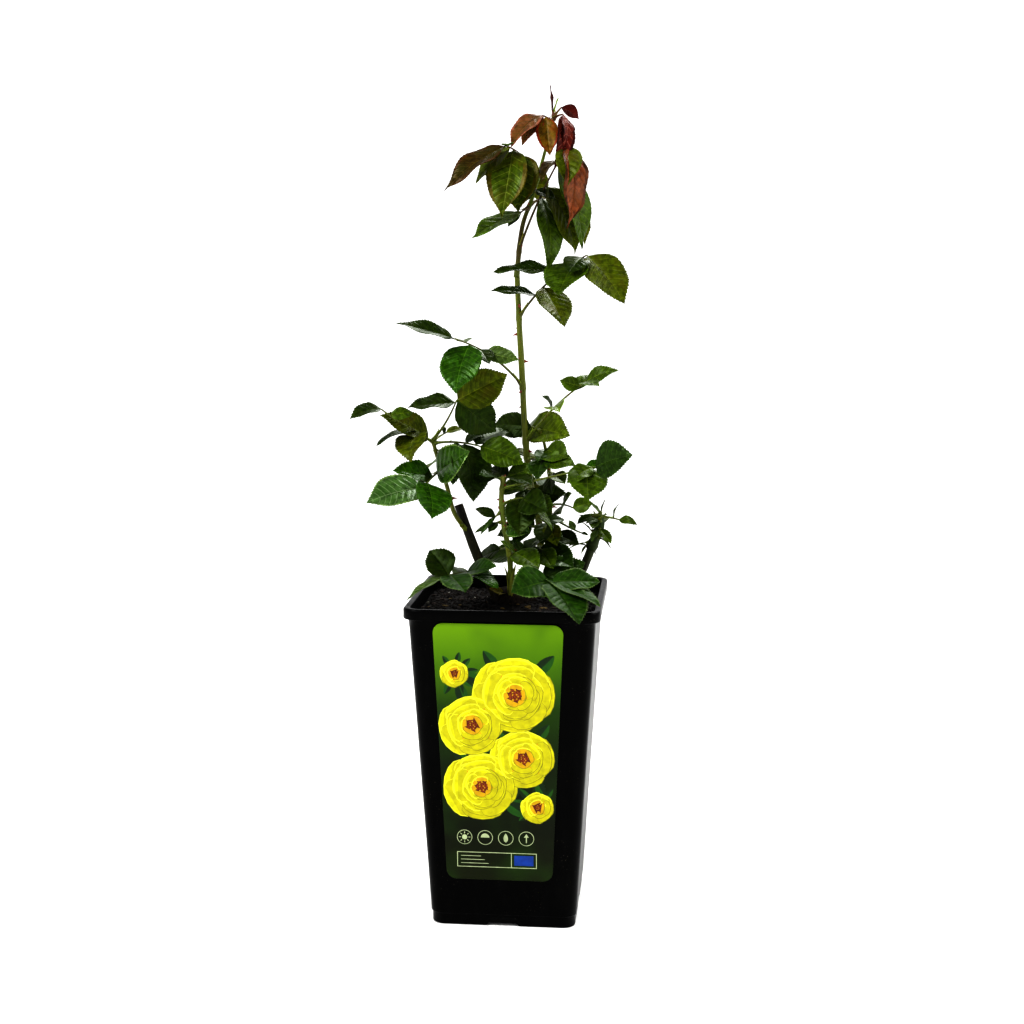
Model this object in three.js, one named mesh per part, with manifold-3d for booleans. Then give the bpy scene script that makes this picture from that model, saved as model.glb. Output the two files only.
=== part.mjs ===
// A young grafted rose bush in a tall square nursery pot with a picture label on its front.
// Millimetres, +Z up, the label faces -Y. The origin is the centre of the pot's flat underside.
import * as THREE from "three";
import Module from "manifold-3d";

const wasm = await Module();
wasm.setup();

// ---------------------------------------------------------------- driving dimensions

const GAP = 0.3; // clearance between touching parts
const SLIVER = 0.02; // edges and faces narrower than this are merged into their neighbours

const POT = {
  height: 255,
  rimHalf: 75, // half of the rim's outer width
  rimHeight: 8.5,
  bodyTopHalf: 71.4,
  bodyFootHalf: 57.2,
  ridgeHeight: 9.5, // the line where the foot ends and the wall starts
  footInset: 0.9,
  wall: 1.8,
  rimWall: 4.8, // thickness of the rim
  floor: 4.5,
  bevel: 1, // of the small edges round the rim and the foot
  cornerRadius: 11,
  cornerSteps: 3,
};

const DRAIN = { grooveWidth: 24, grooveDepth: 2.6, reach: 34, holeRadius: 4 };

const SOIL = { top: 245, edgeDip: 1.2, ripple: 0.8, rippledRings: [0.78, 0.55, 0.36], flat: 0.29 };

const LABEL = {
  centreX: -2,
  bottom: 37,
  top: 243.5,
  bottomWidth: 83,
  topWidth: 99,
  corner: 8,
  thickness: 0.8,
};

const UNION = { x: 1, y: 5, radius: 17, height: 13 };

// A cane runs through its points as a smooth curve, and its radius tapers from foot to tip.
const CANES = {
  main_cane: {
    radii: [3.4, 2.4],
    points: [[10, 3, 249], [22, 14, 282], [22, 18, 306], [15, 15, 340],
      [11, 12, 380], [9, 8, 425], [7, 6, 465], [5, 6, 505]],
    prickles: 11,
  },
  front_cane: {
    radii: [3.2, 2.7],
    points: [[1, -7, 250], [1, -9, 284], [-3, -12, 308], [-5, -15, 332], [-3, -17, 350]],
    prickles: 2,
  },
  left_stub: {
    radii: [4.2, 3.4],
    points: [[-11, 6, 250], [-24, 10, 275], [-33, 10, 298], [-42, 10, 323]],
    prickles: 0,
  },
  left_side_cane: {
    radii: [2.1, 1.8],
    points: [[-35, 9, 302], [-44, 0, 318], [-49, -3, 338], [-53, -4, 352]],
    prickles: 1,
    springsFrom: "left_stub",
  },
  right_stub: {
    radii: [4.1, 3.3],
    points: [[12, 12, 251], [34, 18, 258], [54, 20, 268], [60, 19, 279], [64, 18, 290]],
    prickles: 0,
  },
  right_shoot: {
    radii: [2.2, 1.6],
    points: [[3, 17, 250], [26, 26, 285], [30, 24, 318], [30, 18, 345], [28, 16, 362]],
    prickles: 1,
  },
};

// A shoot carries on from its cane's tip inside a mass of leaves.
const SHOOTS = {
  crown: {
    radii: [2.3, 0.9],
    points: [[5, 6, 505.3], [9, 6, 540], [17, 4, 563], [25, 1, 590], [31, 0, 612], [34, 0, 624]],
  },
  left_tip: {
    radii: [1.8, 1.3],
    points: [[-53.1, -4, 352.3], [-57, -5, 364], [-60, -4, 376]],
  },
  right_tip: {
    radii: [1.6, 1.1],
    points: [[27.9, 16, 362.3], [26, 15, 372], [23, 14, 382]],
  },
  bud_tip: {
    radii: [3.8, 3],
    points: [[64.2, 18, 290.7], [68, 17, 299], [71, 16, 308], [70, 15, 315]],
  },
};

const PRICKLE = { length: 5.5, base: 2.2, first: 0.1, turn: 137.5 };
const STALK = { foot: 1.1, tip: 0.7, sides: 3, span: 18 };
const LEAFLET = {
  fold: 12, // degrees that each half rises from the midrib
  thickness: 0.02, // of its length, and never under the next value
  leastThickness: 0.7,
  stations: [0.15, 0.42, 0.77],
  swell: 0.55, // how fast the outline widens from the base
  taper: 0.85, // and how fast it narrows to the tip
};
const CURL = { mature: 22, young: 48 }; // degrees that a leaflet bends down from base to tip

// Each leaf: where its stalk leaves the cane or shoot (0 foot, 1 tip), the way the stalk runs
// (heading in degrees from +X towards +Y, rise above level, sag over its length, reach), and its
// leaflets as [place on the stalk, length, heading, rise, roll, breadth].
const CROWN_LEAVES = [
  {
    at: 0.86, heading: -125, rise: 60, sag: 60, reach: 14, curl: CURL.young,
    leaflets: [[1, 38, -140, -35, -15, 0.5], [0.9, 25, 170, -55, -45, 0.45]],
  },
  {
    at: 0.88, heading: -105, rise: 35, sag: 40, reach: 15, curl: CURL.mature,
    leaflets: [[1, 31, -85, -70, 30, 0.5], [0.9, 27, -50, -75, 10, 0.45]],
  },
  {
    at: 0.94, heading: -45, rise: 35, sag: 40, reach: 12, curl: 75,
    leaflets: [[1, 32, -90, -60, -50, 0.4], [1, 46, -110, -68, -60, 0.36]],
  },
  {
    at: 0.96, heading: 35, rise: 60, sag: 20, reach: 11, curl: 80,
    leaflets: [[1, 14, 0, -20, -60, 0.6]],
  },
  {
    at: 0.98, heading: 190, rise: 80, sag: 10, reach: 5, curl: 12,
    leaflets: [[1, 24, 150, 84, 0, 0.16], [0.4, 17, 20, 76, 0, 0.14]],
  },
  {
    at: 0.51, heading: -125, rise: 50, sag: 40, reach: 44, curl: CURL.mature,
    leaflets: [[1, 59, -155, -35, -30, 0.35], [0.9, 33, -165, -50, -40, 0.6],
      [0.8, 54, -112, -62, 0, 0.58], [0.62, 48, -88, -68, 5, 0.68]],
  },
  {
    at: 0.1, heading: -30, rise: 75, sag: 30, reach: 90, curl: 55,
    leaflets: [[1, 66, -90, -72, -50, 0.36], [0.93, 37, -100, -45, 5, 0.62],
      [0.62, 63, -60, -75, -20, 0.38], [0.6, 57, 25, -65, 70, 0.4],
      [0.85, 71, 35, -70, 65, 0.36], [0.85, 33, -105, -30, 15, 0.5]],
  },
  {
    at: 0.33, heading: -120, rise: -10, sag: 20, reach: 11, curl: CURL.mature,
    leaflets: [[1, 47, -145, -25, -15, 0.4], [0.9, 16, 165, -45, -70, 0.5]],
  },
  {
    at: 0.53, heading: 115, rise: 30, sag: 40, reach: 37, curl: CURL.young,
    leaflets: [[1, 42, 130, -50, 10, 0.5], [0.8, 38, 60, -55, -20, 0.5],
      [0.8, 38, 180, -45, 20, 0.5]],
  },
  {
    at: 0.35, heading: 70, rise: 30, sag: 40, reach: 35, curl: CURL.young,
    leaflets: [[1, 44, 65, -55, 0, 0.5], [0.8, 38, 115, -50, 20, 0.5],
      [0.8, 36, 20, -45, -20, 0.5]],
  },
];

const LEFT_TIP_LEAVES = [
  {
    at: 1, heading: -40, rise: 40, sag: -20, reach: 43, curl: CURL.mature,
    leaflets: [[1, 42, 10, 15, 85, 0.64], [0.97, 34, 25, -40, 95, 0.6],
      [0.95, 37, -165, -5, -30, 0.4]],
  },
  {
    at: 0.94, heading: -135, rise: 25, sag: -10, reach: 57, curl: CURL.young,
    leaflets: [[1, 22, -140, -15, -30, 0.45], [0.9, 10, 40, 25, 65, 0.6],
      [0.08, 46, -165, 18, -60, 0.46], [0.3, 37, -90, -30, 15, 0.66],
      [0.3, 55, -110, 0, 5, 0.4]],
  },
  {
    at: 0.01, heading: -105, rise: -5, sag: 20, reach: 37, curl: CURL.mature,
    leaflets: [[1, 47, -145, -10, -40, 0.58], [0.8, 36, 140, 15, -15, 0.5],
      [0.8, 36, -75, -40, -25, 0.75], [0.3, 38, -15, 30, 75, 0.64]],
  },
  {
    at: 0.9, heading: -5, rise: 10, sag: 25, reach: 37, curl: CURL.mature,
    leaflets: [[1, 38, -10, -20, 60, 0.62], [0.7, 22, 45, 20, 10, 0.5],
      [0.9, 46, 60, 10, 15, 0.5], [0.66, 54, -60, -65, -15, 0.58]],
  },
  {
    at: 0.97, heading: 65, rise: 20, sag: 10, reach: 20, curl: CURL.mature,
    leaflets: [[1, 15, 35, 10, 30, 0.5], [0.9, 10, -105, 35, -100, 0.5]],
  },
  {
    at: 0.67, heading: 85, rise: -5, sag: 20, reach: 50, curl: CURL.mature,
    leaflets: [[1, 38, 65, -20, 30, 0.6], [0.8, 36, 130, -25, -30, 0.6],
      [0.8, 32, 10, -15, 40, 0.6]],
  },
];

const RIGHT_TIP_LEAVES = [
  {
    at: 1, heading: 120, rise: 20, sag: 30, reach: 19, curl: CURL.mature,
    leaflets: [[1, 44, -40, -5, 50, 0.68], [0.9, 35, 155, 0, -80, 0.58],
      [0.8, 54, 105, -15, -30, 0.6]],
  },
  {
    at: 0.15, heading: -85, rise: 20, sag: 10, reach: 14, curl: CURL.mature,
    leaflets: [[1, 26, -45, -10, 45, 0.8], [0.8, 21, -105, -20, -5, 0.6]],
  },
];

const BUD_TIP_LEAVES = [
  {
    at: 0.95, heading: -10, rise: 5, sag: 20, reach: 16, curl: CURL.young,
    leaflets: [[1, 16, -25, -10, 50, 0.45], [0.7, 12, 10, 70, 0, 0.2]],
  },
  {
    at: 1, heading: 200, rise: 20, sag: 60, reach: 8, curl: CURL.young,
    leaflets: [[0.8, 13, 190, -25, -30, 0.6]],
  },
  {
    at: 0.1, heading: 195, rise: 15, sag: 30, reach: 7, curl: CURL.mature,
    leaflets: [[1, 14, 190, -20, 0, 0.2], [0.6, 12, 20, -60, 0, 0.3]],
  },
  {
    at: 0.4, heading: 190, rise: 30, sag: 10, reach: 6, curl: CURL.mature,
    leaflets: [[1, 10, 175, 40, 0, 0.3], [0.6, 14, -15, 0, 0, 0.2]],
  },
  {
    at: 0.45, heading: 80, rise: 30, sag: 10, reach: 8, curl: CURL.young,
    leaflets: [[1, 20, 80, 10, 0, 0.5], [0.8, 14, 130, 30, 0, 0.5]],
  },
];

// Leaves that stand alone on a cane, each a mass of its own.
const CANE_LEAVES = {
  upper_right_leaf: {
    cane: "main_cane", at: 0.88, heading: -20, rise: 55, sag: 30, reach: 75, curl: CURL.mature,
    leaflets: [[1, 51, -35, -45, 30, 0.62], [0.95, 28, -110, -25, -15, 0.7],
      [0.6, 36, -98, -42, 0, 0.88], [0.66, 52, -165, 0, -10, 0.5],
      [0.42, 43, -50, -30, 15, 0.64], [0.3, 37, -155, 5, -15, 0.5]],
  },
  middle_left_leaf: {
    cane: "main_cane", at: 0.69, heading: -145, rise: 50, sag: 35, reach: 73, curl: CURL.mature,
    leaflets: [[1, 45, -170, 15, -15, 0.5], [0.85, 44, -108, -52, -5, 0.8],
      [0.85, 25, 105, 0, -5, 0.5], [0.62, 22, -125, -5, -25, 0.5], [0.45, 39, -65, 0, 15, 0.5]],
  },
  middle_right_leaf: {
    cane: "main_cane", at: 0.55, heading: -35, rise: 50, sag: 20, reach: 78, curl: CURL.young,
    leaflets: [[1, 28, -15, 20, 50, 0.52], [0.95, 25, -55, 0, 15, 0.5],
      [0.92, 16, -175, 15, -80, 0.7], [0.8, 28, 35, 25, 10, 0.6], [0.5, 28, -75, 0, 20, 0.6],
      [0.48, 17, -125, 45, -60, 0.5]],
  },
  middle_back_leaf: {
    cane: "main_cane", at: 0.51, heading: 115, rise: 10, sag: 30, reach: 48, curl: CURL.mature,
    leaflets: [[1, 40, 110, -15, -20, 0.6], [0.75, 38, 60, -20, 20, 0.6],
      [0.75, 34, 165, -10, -30, 0.6], [0.45, 28, 50, -20, 20, 0.6],
      [0.45, 28, 175, -15, -30, 0.6]],
  },
  right_upper_leaf: {
    cane: "right_shoot", at: 0.8, heading: -75, rise: 5, sag: 10, reach: 14, curl: CURL.mature,
    leaflets: [[1, 20, -55, -15, 20, 0.7], [0.8, 24, -85, -35, 50, 0.6]],
  },
  right_small_leaf: {
    cane: "right_shoot", at: 0.53, heading: -60, rise: 15, sag: 20, reach: 41, curl: CURL.mature,
    leaflets: [[1, 16, 0, 15, 75, 0.75], [0.6, 15, -50, 45, 60, 0.8], [0.6, 30, -90, -5, 50, 0.6]],
  },
  right_thin_leaf: {
    cane: "right_shoot", at: 0.46, heading: -35, rise: -24, sag: -12, reach: 34,
    curl: CURL.mature,
    leaflets: [[0.8, 9, 175, 60, -65, 0.6], [1, 7, -35, -10, 35, 0.4]],
  },
  right_back_leaf: {
    cane: "right_shoot", at: 0.58, heading: 110, rise: 20, sag: 30, reach: 54, curl: CURL.mature,
    leaflets: [[1, 38, 115, -15, -20, 0.6], [0.75, 38, 60, -15, 20, 0.6],
      [0.75, 34, 160, -5, -30, 0.6], [0.45, 30, 45, -20, 30, 0.6], [0.45, 28, 170, -30, -30, 0.6]],
  },
  right_low_leaf: {
    cane: "right_shoot", at: 0.22, heading: -85, rise: 20, sag: 15, reach: 28, curl: CURL.mature,
    leaflets: [[1, 37, -45, -10, 30, 0.68], [0.9, 22, -30, 15, 65, 0.72],
      [0.7, 38, -95, -10, 25, 0.5]],
  },
  low_back_leaf: {
    cane: "right_shoot", at: 0.2, heading: 115, rise: 5, sag: 20, reach: 41, curl: CURL.mature,
    leaflets: [[1, 38, 115, -15, -20, 0.6], [0.7, 36, 60, -15, 20, 0.6],
      [0.7, 34, 165, -10, -20, 0.6]],
  },
  front_right_leaf: {
    cane: "front_cane", at: 0.86, heading: -20, rise: 15, sag: 0, reach: 81, curl: CURL.mature,
    leaflets: [[1, 32, -25, 25, 65, 0.8], [0.93, 30, -80, -30, -15, 0.9],
      [0.9, 13, 85, 20, 10, 0.5], [0.97, 30, -105, 15, -55, 0.5]],
  },
  front_top_leaf: {
    cane: "front_cane", at: 0.95, heading: 65, rise: 20, sag: 10, reach: 8, curl: CURL.mature,
    leaflets: [[1, 24, 135, 10, -35, 0.6], [0.9, 24, -5, 20, 60, 0.65],
      [0.9, 33, -50, -5, 10, 0.5]],
  },
  front_middle_leaf: {
    cane: "front_cane", at: 0.69, heading: -30, rise: 35, sag: 30, reach: 22, curl: CURL.mature,
    leaflets: [[1, 36, -48, -15, 50, 0.72], [0.9, 38, -88, -48, 0, 0.72],
      [1, 42, -40, -25, -20, 0.3]],
  },
  centre_leaf: {
    cane: "main_cane", at: 0.385, heading: -85, rise: 15, sag: 20, reach: 14, curl: CURL.mature,
    leaflets: [[1, 30, -55, -20, 40, 0.66], [0.8, 26, 0, 10, 60, 0.66]],
  },
  centre_low_leaf: {
    cane: "main_cane", at: 0.24, heading: -75, rise: 15, sag: 20, reach: 14, curl: CURL.mature,
    leaflets: [[1, 28, -110, -15, 10, 0.7], [0.8, 24, -45, 5, 50, 0.66]],
  },
  front_striped_leaf: {
    cane: "front_cane", at: 0.49, heading: -65, rise: 30, sag: 10, reach: 10, curl: CURL.mature,
    leaflets: [[1, 26, -45, -5, 50, 0.7]],
  },
  front_left_leaf: {
    cane: "front_cane", at: 0.64, heading: -155, rise: -30, sag: 10, reach: 7, curl: CURL.young,
    leaflets: [[1, 17, 175, 20, -45, 0.5], [1, 19, -145, -45, -40, 0.22]],
  },
  foot_front_leaf: {
    cane: "front_cane", at: 0.25, heading: -60, rise: 40, sag: 20, reach: 12, curl: CURL.mature,
    leaflets: [[1, 28, -45, -15, 25, 0.7], [0.9, 17, -145, 40, -45, 0.5]],
  },
  foot_back_leaf: {
    cane: "front_cane", at: 0.32, heading: 115, rise: -5, sag: 10, reach: 20, curl: CURL.mature,
    leaflets: [[1, 30, 140, -25, -55, 0.5]],
  },
  rim_right_leaf: {
    cane: "main_cane", at: 0.05, heading: -65, rise: 25, sag: 30, reach: 53, curl: CURL.mature,
    leaflets: [[1, 61, -60, -20, -10, 0.6], [0.95, 37, 5, 0, 30, 0.52],
      [0.92, 34, -145, -5, -40, 0.82], [0.6, 68, -45, -10, -5, 0.4], [0.6, 36, 15, 18, 50, 0.64]],
  },
  rim_left_leaf: {
    cane: "left_stub", at: 0.2, heading: -125, rise: 25, sag: 30, reach: 46, curl: CURL.mature,
    leaflets: [[1, 27, 145, 40, -40, 0.88], [0.97, 32, -60, -15, 5, 0.78],
      [0.97, 40, -150, -25, 0, 0.4], [0.55, 35, -40, 15, 40, 0.5], [0.55, 40, -45, -10, 5, 0.46],
      [0.9, 33, 70, -10, 20, 0.4]],
  },
};

const COLOURS = {
  pot: [0x111113, 0.32],
  label: [0xc9c317, 0.35],
  soil: [0x17120f, 0.95],
  oldBark: [0x4a3a28, 0.85],
  darkBark: [0x2f2a1c, 0.8],
  greenBark: [0x7d8f3a, 0.55],
  crown: [0x7c4a26, 0.5],
  bud: [0x6f7a35, 0.55],
  leaf: [0x2f5417, 0.45],
};

// ---------------------------------------------------------------- solids

const UP = new THREE.Vector3(0, 0, 1);
const vec = (p) => new THREE.Vector3(...p);
const lerp = THREE.MathUtils.lerp;
const degToRad = THREE.MathUtils.degToRad;

// The solid inside a closed surface that is given by its points and triangles.
function solidFrom(points, triangles) {
  return new wasm.Manifold(new wasm.Mesh({
    numProp: 3,
    vertProperties: new Float32Array(points.flatMap((p) => p.toArray())),
    triVerts: new Uint32Array(triangles.flat()),
  }));
}

// Joins rings of equal length side to side and closes both ends. Each ring runs anticlockwise
// when seen from beyond the last one.
function loft(rings) {
  const count = rings[0].length;
  const triangles = [];
  for (let r = 0; r + 1 < rings.length; r += 1) {
    for (let i = 0; i < count; i += 1) {
      const a = r * count + i;
      const b = r * count + ((i + 1) % count);
      triangles.push([a, b, b + count], [a, b + count, a + count]);
    }
  }
  const last = (rings.length - 1) * count;
  for (let i = 1; i + 1 < count; i += 1) {
    triangles.push([0, i + 1, i], [last, last + i, last + i + 1]);
  }
  return solidFrom(rings.flat(), triangles);
}

function smoothCurve(points) {
  return new THREE.CatmullRomCurve3(points.map(vec), false, "catmullrom", 0.5);
}

// A round limb along a path of points, with one radius for each.
function limb(path, radii, sides) {
  const tangents = path.map((_, i) => {
    const from = path[Math.max(i - 1, 0)];
    const to = path[Math.min(i + 1, path.length - 1)];
    return to.clone().sub(from).normalize();
  });
  let across = new THREE.Vector3(1, 0.2, 0.1);
  const rings = path.map((centre, i) => {
    across = across.addScaledVector(tangents[i], -across.dot(tangents[i])).normalize();
    const over = tangents[i].clone().cross(across);
    return Array.from({ length: sides }, (_, k) => {
      const angle = (2 * Math.PI * k) / sides;
      return centre.clone()
        .addScaledVector(across, radii[i] * Math.cos(angle))
        .addScaledVector(over, radii[i] * Math.sin(angle));
    });
  });
  return loft(rings);
}

// A limb along a cane's or shoot's curve, made thicker all round by grow.
function limbAlong({ points, radii }, grow = 0, sides = 8, perSpan = 2) {
  const steps = (points.length - 1) * perSpan;
  const path = smoothCurve(points).getPoints(steps);
  return limb(path, path.map((_, i) => lerp(...radii, i / steps) + grow), sides);
}

function headingVector(heading, rise) {
  const [h, r] = [degToRad(heading), degToRad(rise)];
  return new THREE.Vector3(Math.cos(h) * Math.cos(r), Math.sin(h) * Math.cos(r), Math.sin(r));
}

// ---------------------------------------------------------------- pot, label and soil

// A square with round corners at height z, anticlockwise from above.
function roundedSquare(half, radius, z) {
  const inner = half - radius;
  const points = [];
  for (let corner = 0; corner < 4; corner += 1) {
    const centreAngle = Math.PI * (0.25 + 0.5 * corner);
    const centre = [Math.sign(Math.cos(centreAngle)) * inner, Math.sign(Math.sin(centreAngle)) * inner];
    for (let step = 0; step <= POT.cornerSteps; step += 1) {
      const angle = (Math.PI / 2) * (corner + step / POT.cornerSteps);
      points.push(new THREE.Vector3(
        centre[0] + radius * Math.cos(angle), centre[1] + radius * Math.sin(angle), z));
    }
  }
  return points;
}

const potBodyTop = POT.height - POT.rimHeight;

// Half the width of the pot's tapering wall at height z.
function wallHalf(z) {
  const share = (z - POT.ridgeHeight) / (potBodyTop - POT.ridgeHeight);
  return lerp(POT.bodyFootHalf, POT.bodyTopHalf, share);
}

function makePot() {
  const { height, rimHalf, ridgeHeight, footInset, wall, floor, bevel, cornerRadius } = POT;
  const footHalf = POT.bodyFootHalf - footInset;
  const outer = loft([
    roundedSquare(footHalf - bevel, cornerRadius - 2 * bevel, 0),
    roundedSquare(footHalf, cornerRadius - bevel, bevel),
    roundedSquare(footHalf, cornerRadius - bevel, ridgeHeight - bevel),
    roundedSquare(POT.bodyFootHalf, cornerRadius - bevel, ridgeHeight),
    roundedSquare(POT.bodyTopHalf, cornerRadius, potBodyTop - bevel / 2),
    roundedSquare(rimHalf - bevel, cornerRadius, potBodyTop),
    roundedSquare(rimHalf, cornerRadius + bevel, potBodyTop + bevel),
    roundedSquare(rimHalf, cornerRadius + bevel, height - bevel),
    roundedSquare(rimHalf - bevel, cornerRadius, height),
  ]);
  const inner = loft([
    roundedSquare(wallHalf(floor) - wall, cornerRadius - wall, floor),
    roundedSquare(wallHalf(potBodyTop) - wall, cornerRadius - wall, potBodyTop),
    roundedSquare(rimHalf - POT.rimWall, cornerRadius - wall, height + bevel),
  ]);
  let pot = outer.subtract(inner);
  for (let side = 0; side < 4; side += 1) {
    pot = pot.subtract(drain(side * 90));
  }
  return pot;
}

// A groove under one side's middle, from the edge in to a drain hole through the floor.
function drain(turn) {
  const { grooveWidth, grooveDepth, reach, holeRadius } = DRAIN;
  const length = POT.rimHalf - reach;
  const groove = new THREE.BoxGeometry(length, grooveWidth, 2 * grooveDepth);
  groove.translate(reach + length / 2, 0, 0);
  const hole = new THREE.CylinderGeometry(holeRadius, holeRadius, 4 * POT.floor, 16);
  hole.rotateX(Math.PI / 2).translate(reach + holeRadius + 2, 0, 0);
  const cut = fromGeometry(groove).add(fromGeometry(hole));
  return cut.rotate([0, 0, turn]);
}

// A three.js geometry as a solid, its doubled corners merged by position.
function fromGeometry(geometry) {
  const position = geometry.attributes.position;
  const seen = new Map();
  const points = [];
  const slots = Array.from({ length: position.count }, (_, i) => {
    const point = new THREE.Vector3().fromBufferAttribute(position, i);
    const key = point.toArray().map((v) => v.toFixed(4)).join();
    if (!seen.has(key)) {
      seen.set(key, points.length);
      points.push(point);
    }
    return seen.get(key);
  });
  const order = [...geometry.index.array].map((i) => slots[i]);
  const triangles = [];
  for (let i = 0; i < order.length; i += 3) {
    const [a, b, c] = order.slice(i, i + 3);
    if (a !== b && b !== c && a !== c) triangles.push([a, b, c]);
  }
  return solidFrom(points, triangles);
}

// The soil fills the pot, with a slightly uneven top that is flat under the plant's foot.
function makeSoil() {
  const { floor, wall, cornerRadius } = POT;
  const half = (z) => wallHalf(z) - wall - GAP;
  const rings = [
    roundedSquare(half(floor + GAP), cornerRadius - wall, floor + GAP),
    roundedSquare(half(SOIL.top), cornerRadius - wall, SOIL.top - SOIL.edgeDip),
  ];
  for (const share of SOIL.rippledRings) {
    const ring = roundedSquare(half(SOIL.top) * share, cornerRadius * share, SOIL.top);
    ring.forEach((point, i) => {
      point.z += SOIL.ripple * Math.sin(2.3 * i + 9 * share);
    });
    rings.push(ring);
  }
  rings.push(roundedSquare(half(SOIL.top) * SOIL.flat, cornerRadius * SOIL.flat, SOIL.top));
  return loft(rings);
}

// The label: a thin plate with round corners, a little narrower at its foot, on the front wall.
function makeLabel() {
  const { bottom, top, bottomWidth, topWidth, corner, thickness, centreX } = LABEL;
  const tilt = Math.atan2(wallHalf(top) - wallHalf(bottom), top - bottom);
  const tall = (top - bottom) / Math.cos(tilt);
  const [low, high] = [bottomWidth / 2, topWidth / 2];
  const lean = ((high - low) * corner) / tall;
  const shape = new THREE.Shape();
  shape.moveTo(-low + corner, 0);
  shape.lineTo(low - corner, 0);
  shape.quadraticCurveTo(low, 0, low + lean, corner);
  shape.lineTo(high - lean, tall - corner);
  shape.quadraticCurveTo(high, tall, high - corner, tall);
  shape.lineTo(-high + corner, tall);
  shape.quadraticCurveTo(-high, tall, -high + lean, tall - corner);
  shape.lineTo(-low - lean, corner);
  shape.quadraticCurveTo(-low, 0, -low + corner, 0);
  const plate = new THREE.ExtrudeGeometry(shape, {
    depth: thickness, bevelEnabled: false, curveSegments: 5,
  });
  plate.deleteAttribute("normal");
  plate.deleteAttribute("uv");
  plate.setIndex([...Array(plate.attributes.position.count).keys()]);
  plate.rotateX(Math.PI / 2 + tilt);
  plate.translate(centreX, -wallHalf(bottom) - GAP, bottom);
  return fromGeometry(plate);
}

// ---------------------------------------------------------------- canes

// The knuckle where the variety was grafted on, with its flat foot on the soil.
function graftKnuckle(grow = 0) {
  const { x, y, radius, height } = UNION;
  const profile = [[1, 0], [1.04, 0.3], [0.92, 0.66], [0.62, 0.92], [0.3, 1]];
  const foot = SOIL.top + GAP;
  const sides = 12;
  const rings = profile.map(([wide, tall]) => Array.from({ length: sides }, (_, k) => {
    const angle = (2 * Math.PI * k) / sides;
    const lobe = 1 + 0.08 * Math.sin(3 * angle + 0.6);
    const reach = radius * wide * lobe + grow;
    return new THREE.Vector3(
      x + reach * Math.cos(angle), y + reach * Math.sin(angle), foot + height * tall + grow);
  }));
  return loft(rings);
}

// Prickles set round a cane in turn, hooked downwards.
function prickles({ points, radii, prickles: count }) {
  const curve = smoothCurve(points);
  return Array.from({ length: count }, (_, k) => {
    const t = lerp(PRICKLE.first, 1 - PRICKLE.first / 2, (k + 0.5) / count);
    const along = curve.getTangent(t);
    const out = headingVector(PRICKLE.turn * k, 0);
    out.addScaledVector(along, -out.dot(along)).normalize();
    const side = out.clone().cross(along);
    const root = curve.getPoint(t).addScaledVector(out, 0.6 * lerp(...radii, t));
    const tip = root.clone()
      .addScaledVector(out, PRICKLE.length)
      .addScaledVector(along, -0.25 * PRICKLE.length);
    const base = [[1, 0], [0, 0.5], [-1, 0], [0, -0.5]].map(([a, b]) => root.clone()
      .addScaledVector(along, a * PRICKLE.base)
      .addScaledVector(side, b * PRICKLE.base));
    return solidFrom([...base, tip], [[0, 1, 4], [1, 2, 4], [2, 3, 4], [3, 0, 4], [2, 1, 0], [3, 2, 0]]);
  });
}

// ---------------------------------------------------------------- leaves

// The points of a stalk, whose rise falls steadily by its sag.
function stalkPath(start, { heading, rise, sag, reach }) {
  const fine = 20;
  const points = [start.clone()];
  for (let i = 0; i < fine; i += 1) {
    const step = headingVector(heading, rise - (sag * (i + 0.5)) / fine);
    points.push(points[i].clone().addScaledVector(step, reach / fine));
  }
  return points;
}

function pointOnPath(path, share) {
  const place = share * (path.length - 1);
  const i = Math.min(Math.floor(place), path.length - 2);
  return path[i].clone().lerp(path[i + 1], place - i);
}

// A leaflet's width at share s of its length, as a share of its greatest width.
function outline(s) {
  const { swell, taper } = LEAFLET;
  const bulge = (t) => t ** swell * (1 - t) ** taper;
  return bulge(s) / bulge(swell / (swell + taper));
}

// A thin folded and curled blade from its base to its tip.
function leaflet(base, [, length, heading, rise, roll, breadth], curl) {
  const chord = headingVector(heading, rise);
  const level = UP.clone().addScaledVector(chord, -UP.dot(chord)).normalize();
  const normal = level.applyAxisAngle(chord, degToRad(roll));
  const side = chord.clone().cross(normal);
  const half = (length * breadth) / 2;
  const thick = Math.max(length * LEAFLET.thickness, LEAFLET.leastThickness) / 2;
  const fold = Math.tan(degToRad(LEAFLET.fold));
  const bow = (length * Math.tan(degToRad(curl) / 4)) / 2;
  const spine = (s) => base.clone()
    .addScaledVector(chord, s * length)
    .addScaledVector(normal, bow * 4 * s * (1 - s));
  const section = (s, wide) => {
    const middle = spine(s);
    const edge = (sign) => middle.clone()
      .addScaledVector(side, sign * wide)
      .addScaledVector(normal, wide * fold);
    return [edge(-1), middle.clone().addScaledVector(normal, thick), edge(1),
      middle.clone().addScaledVector(normal, -thick)];
  };
  const rings = [section(0, thick)];
  LEAFLET.stations.forEach((s) => rings.push(section(s, half * outline(s))));
  const points = [...rings.flat(), spine(1)];
  const triangles = [[0, 2, 1], [0, 3, 2]];
  for (let r = 0; r + 1 < rings.length; r += 1) {
    for (let i = 0; i < 4; i += 1) {
      const a = r * 4 + i;
      const b = r * 4 + ((i + 1) % 4);
      triangles.push([a, b, b + 4], [a, b + 4, a + 4]);
    }
  }
  const [last, tip] = [points.length - 5, points.length - 1];
  for (let i = 0; i < 4; i += 1) {
    triangles.push([last + i, last + ((i + 1) % 4), tip]);
  }
  return solidFrom(points, triangles);
}

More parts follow.
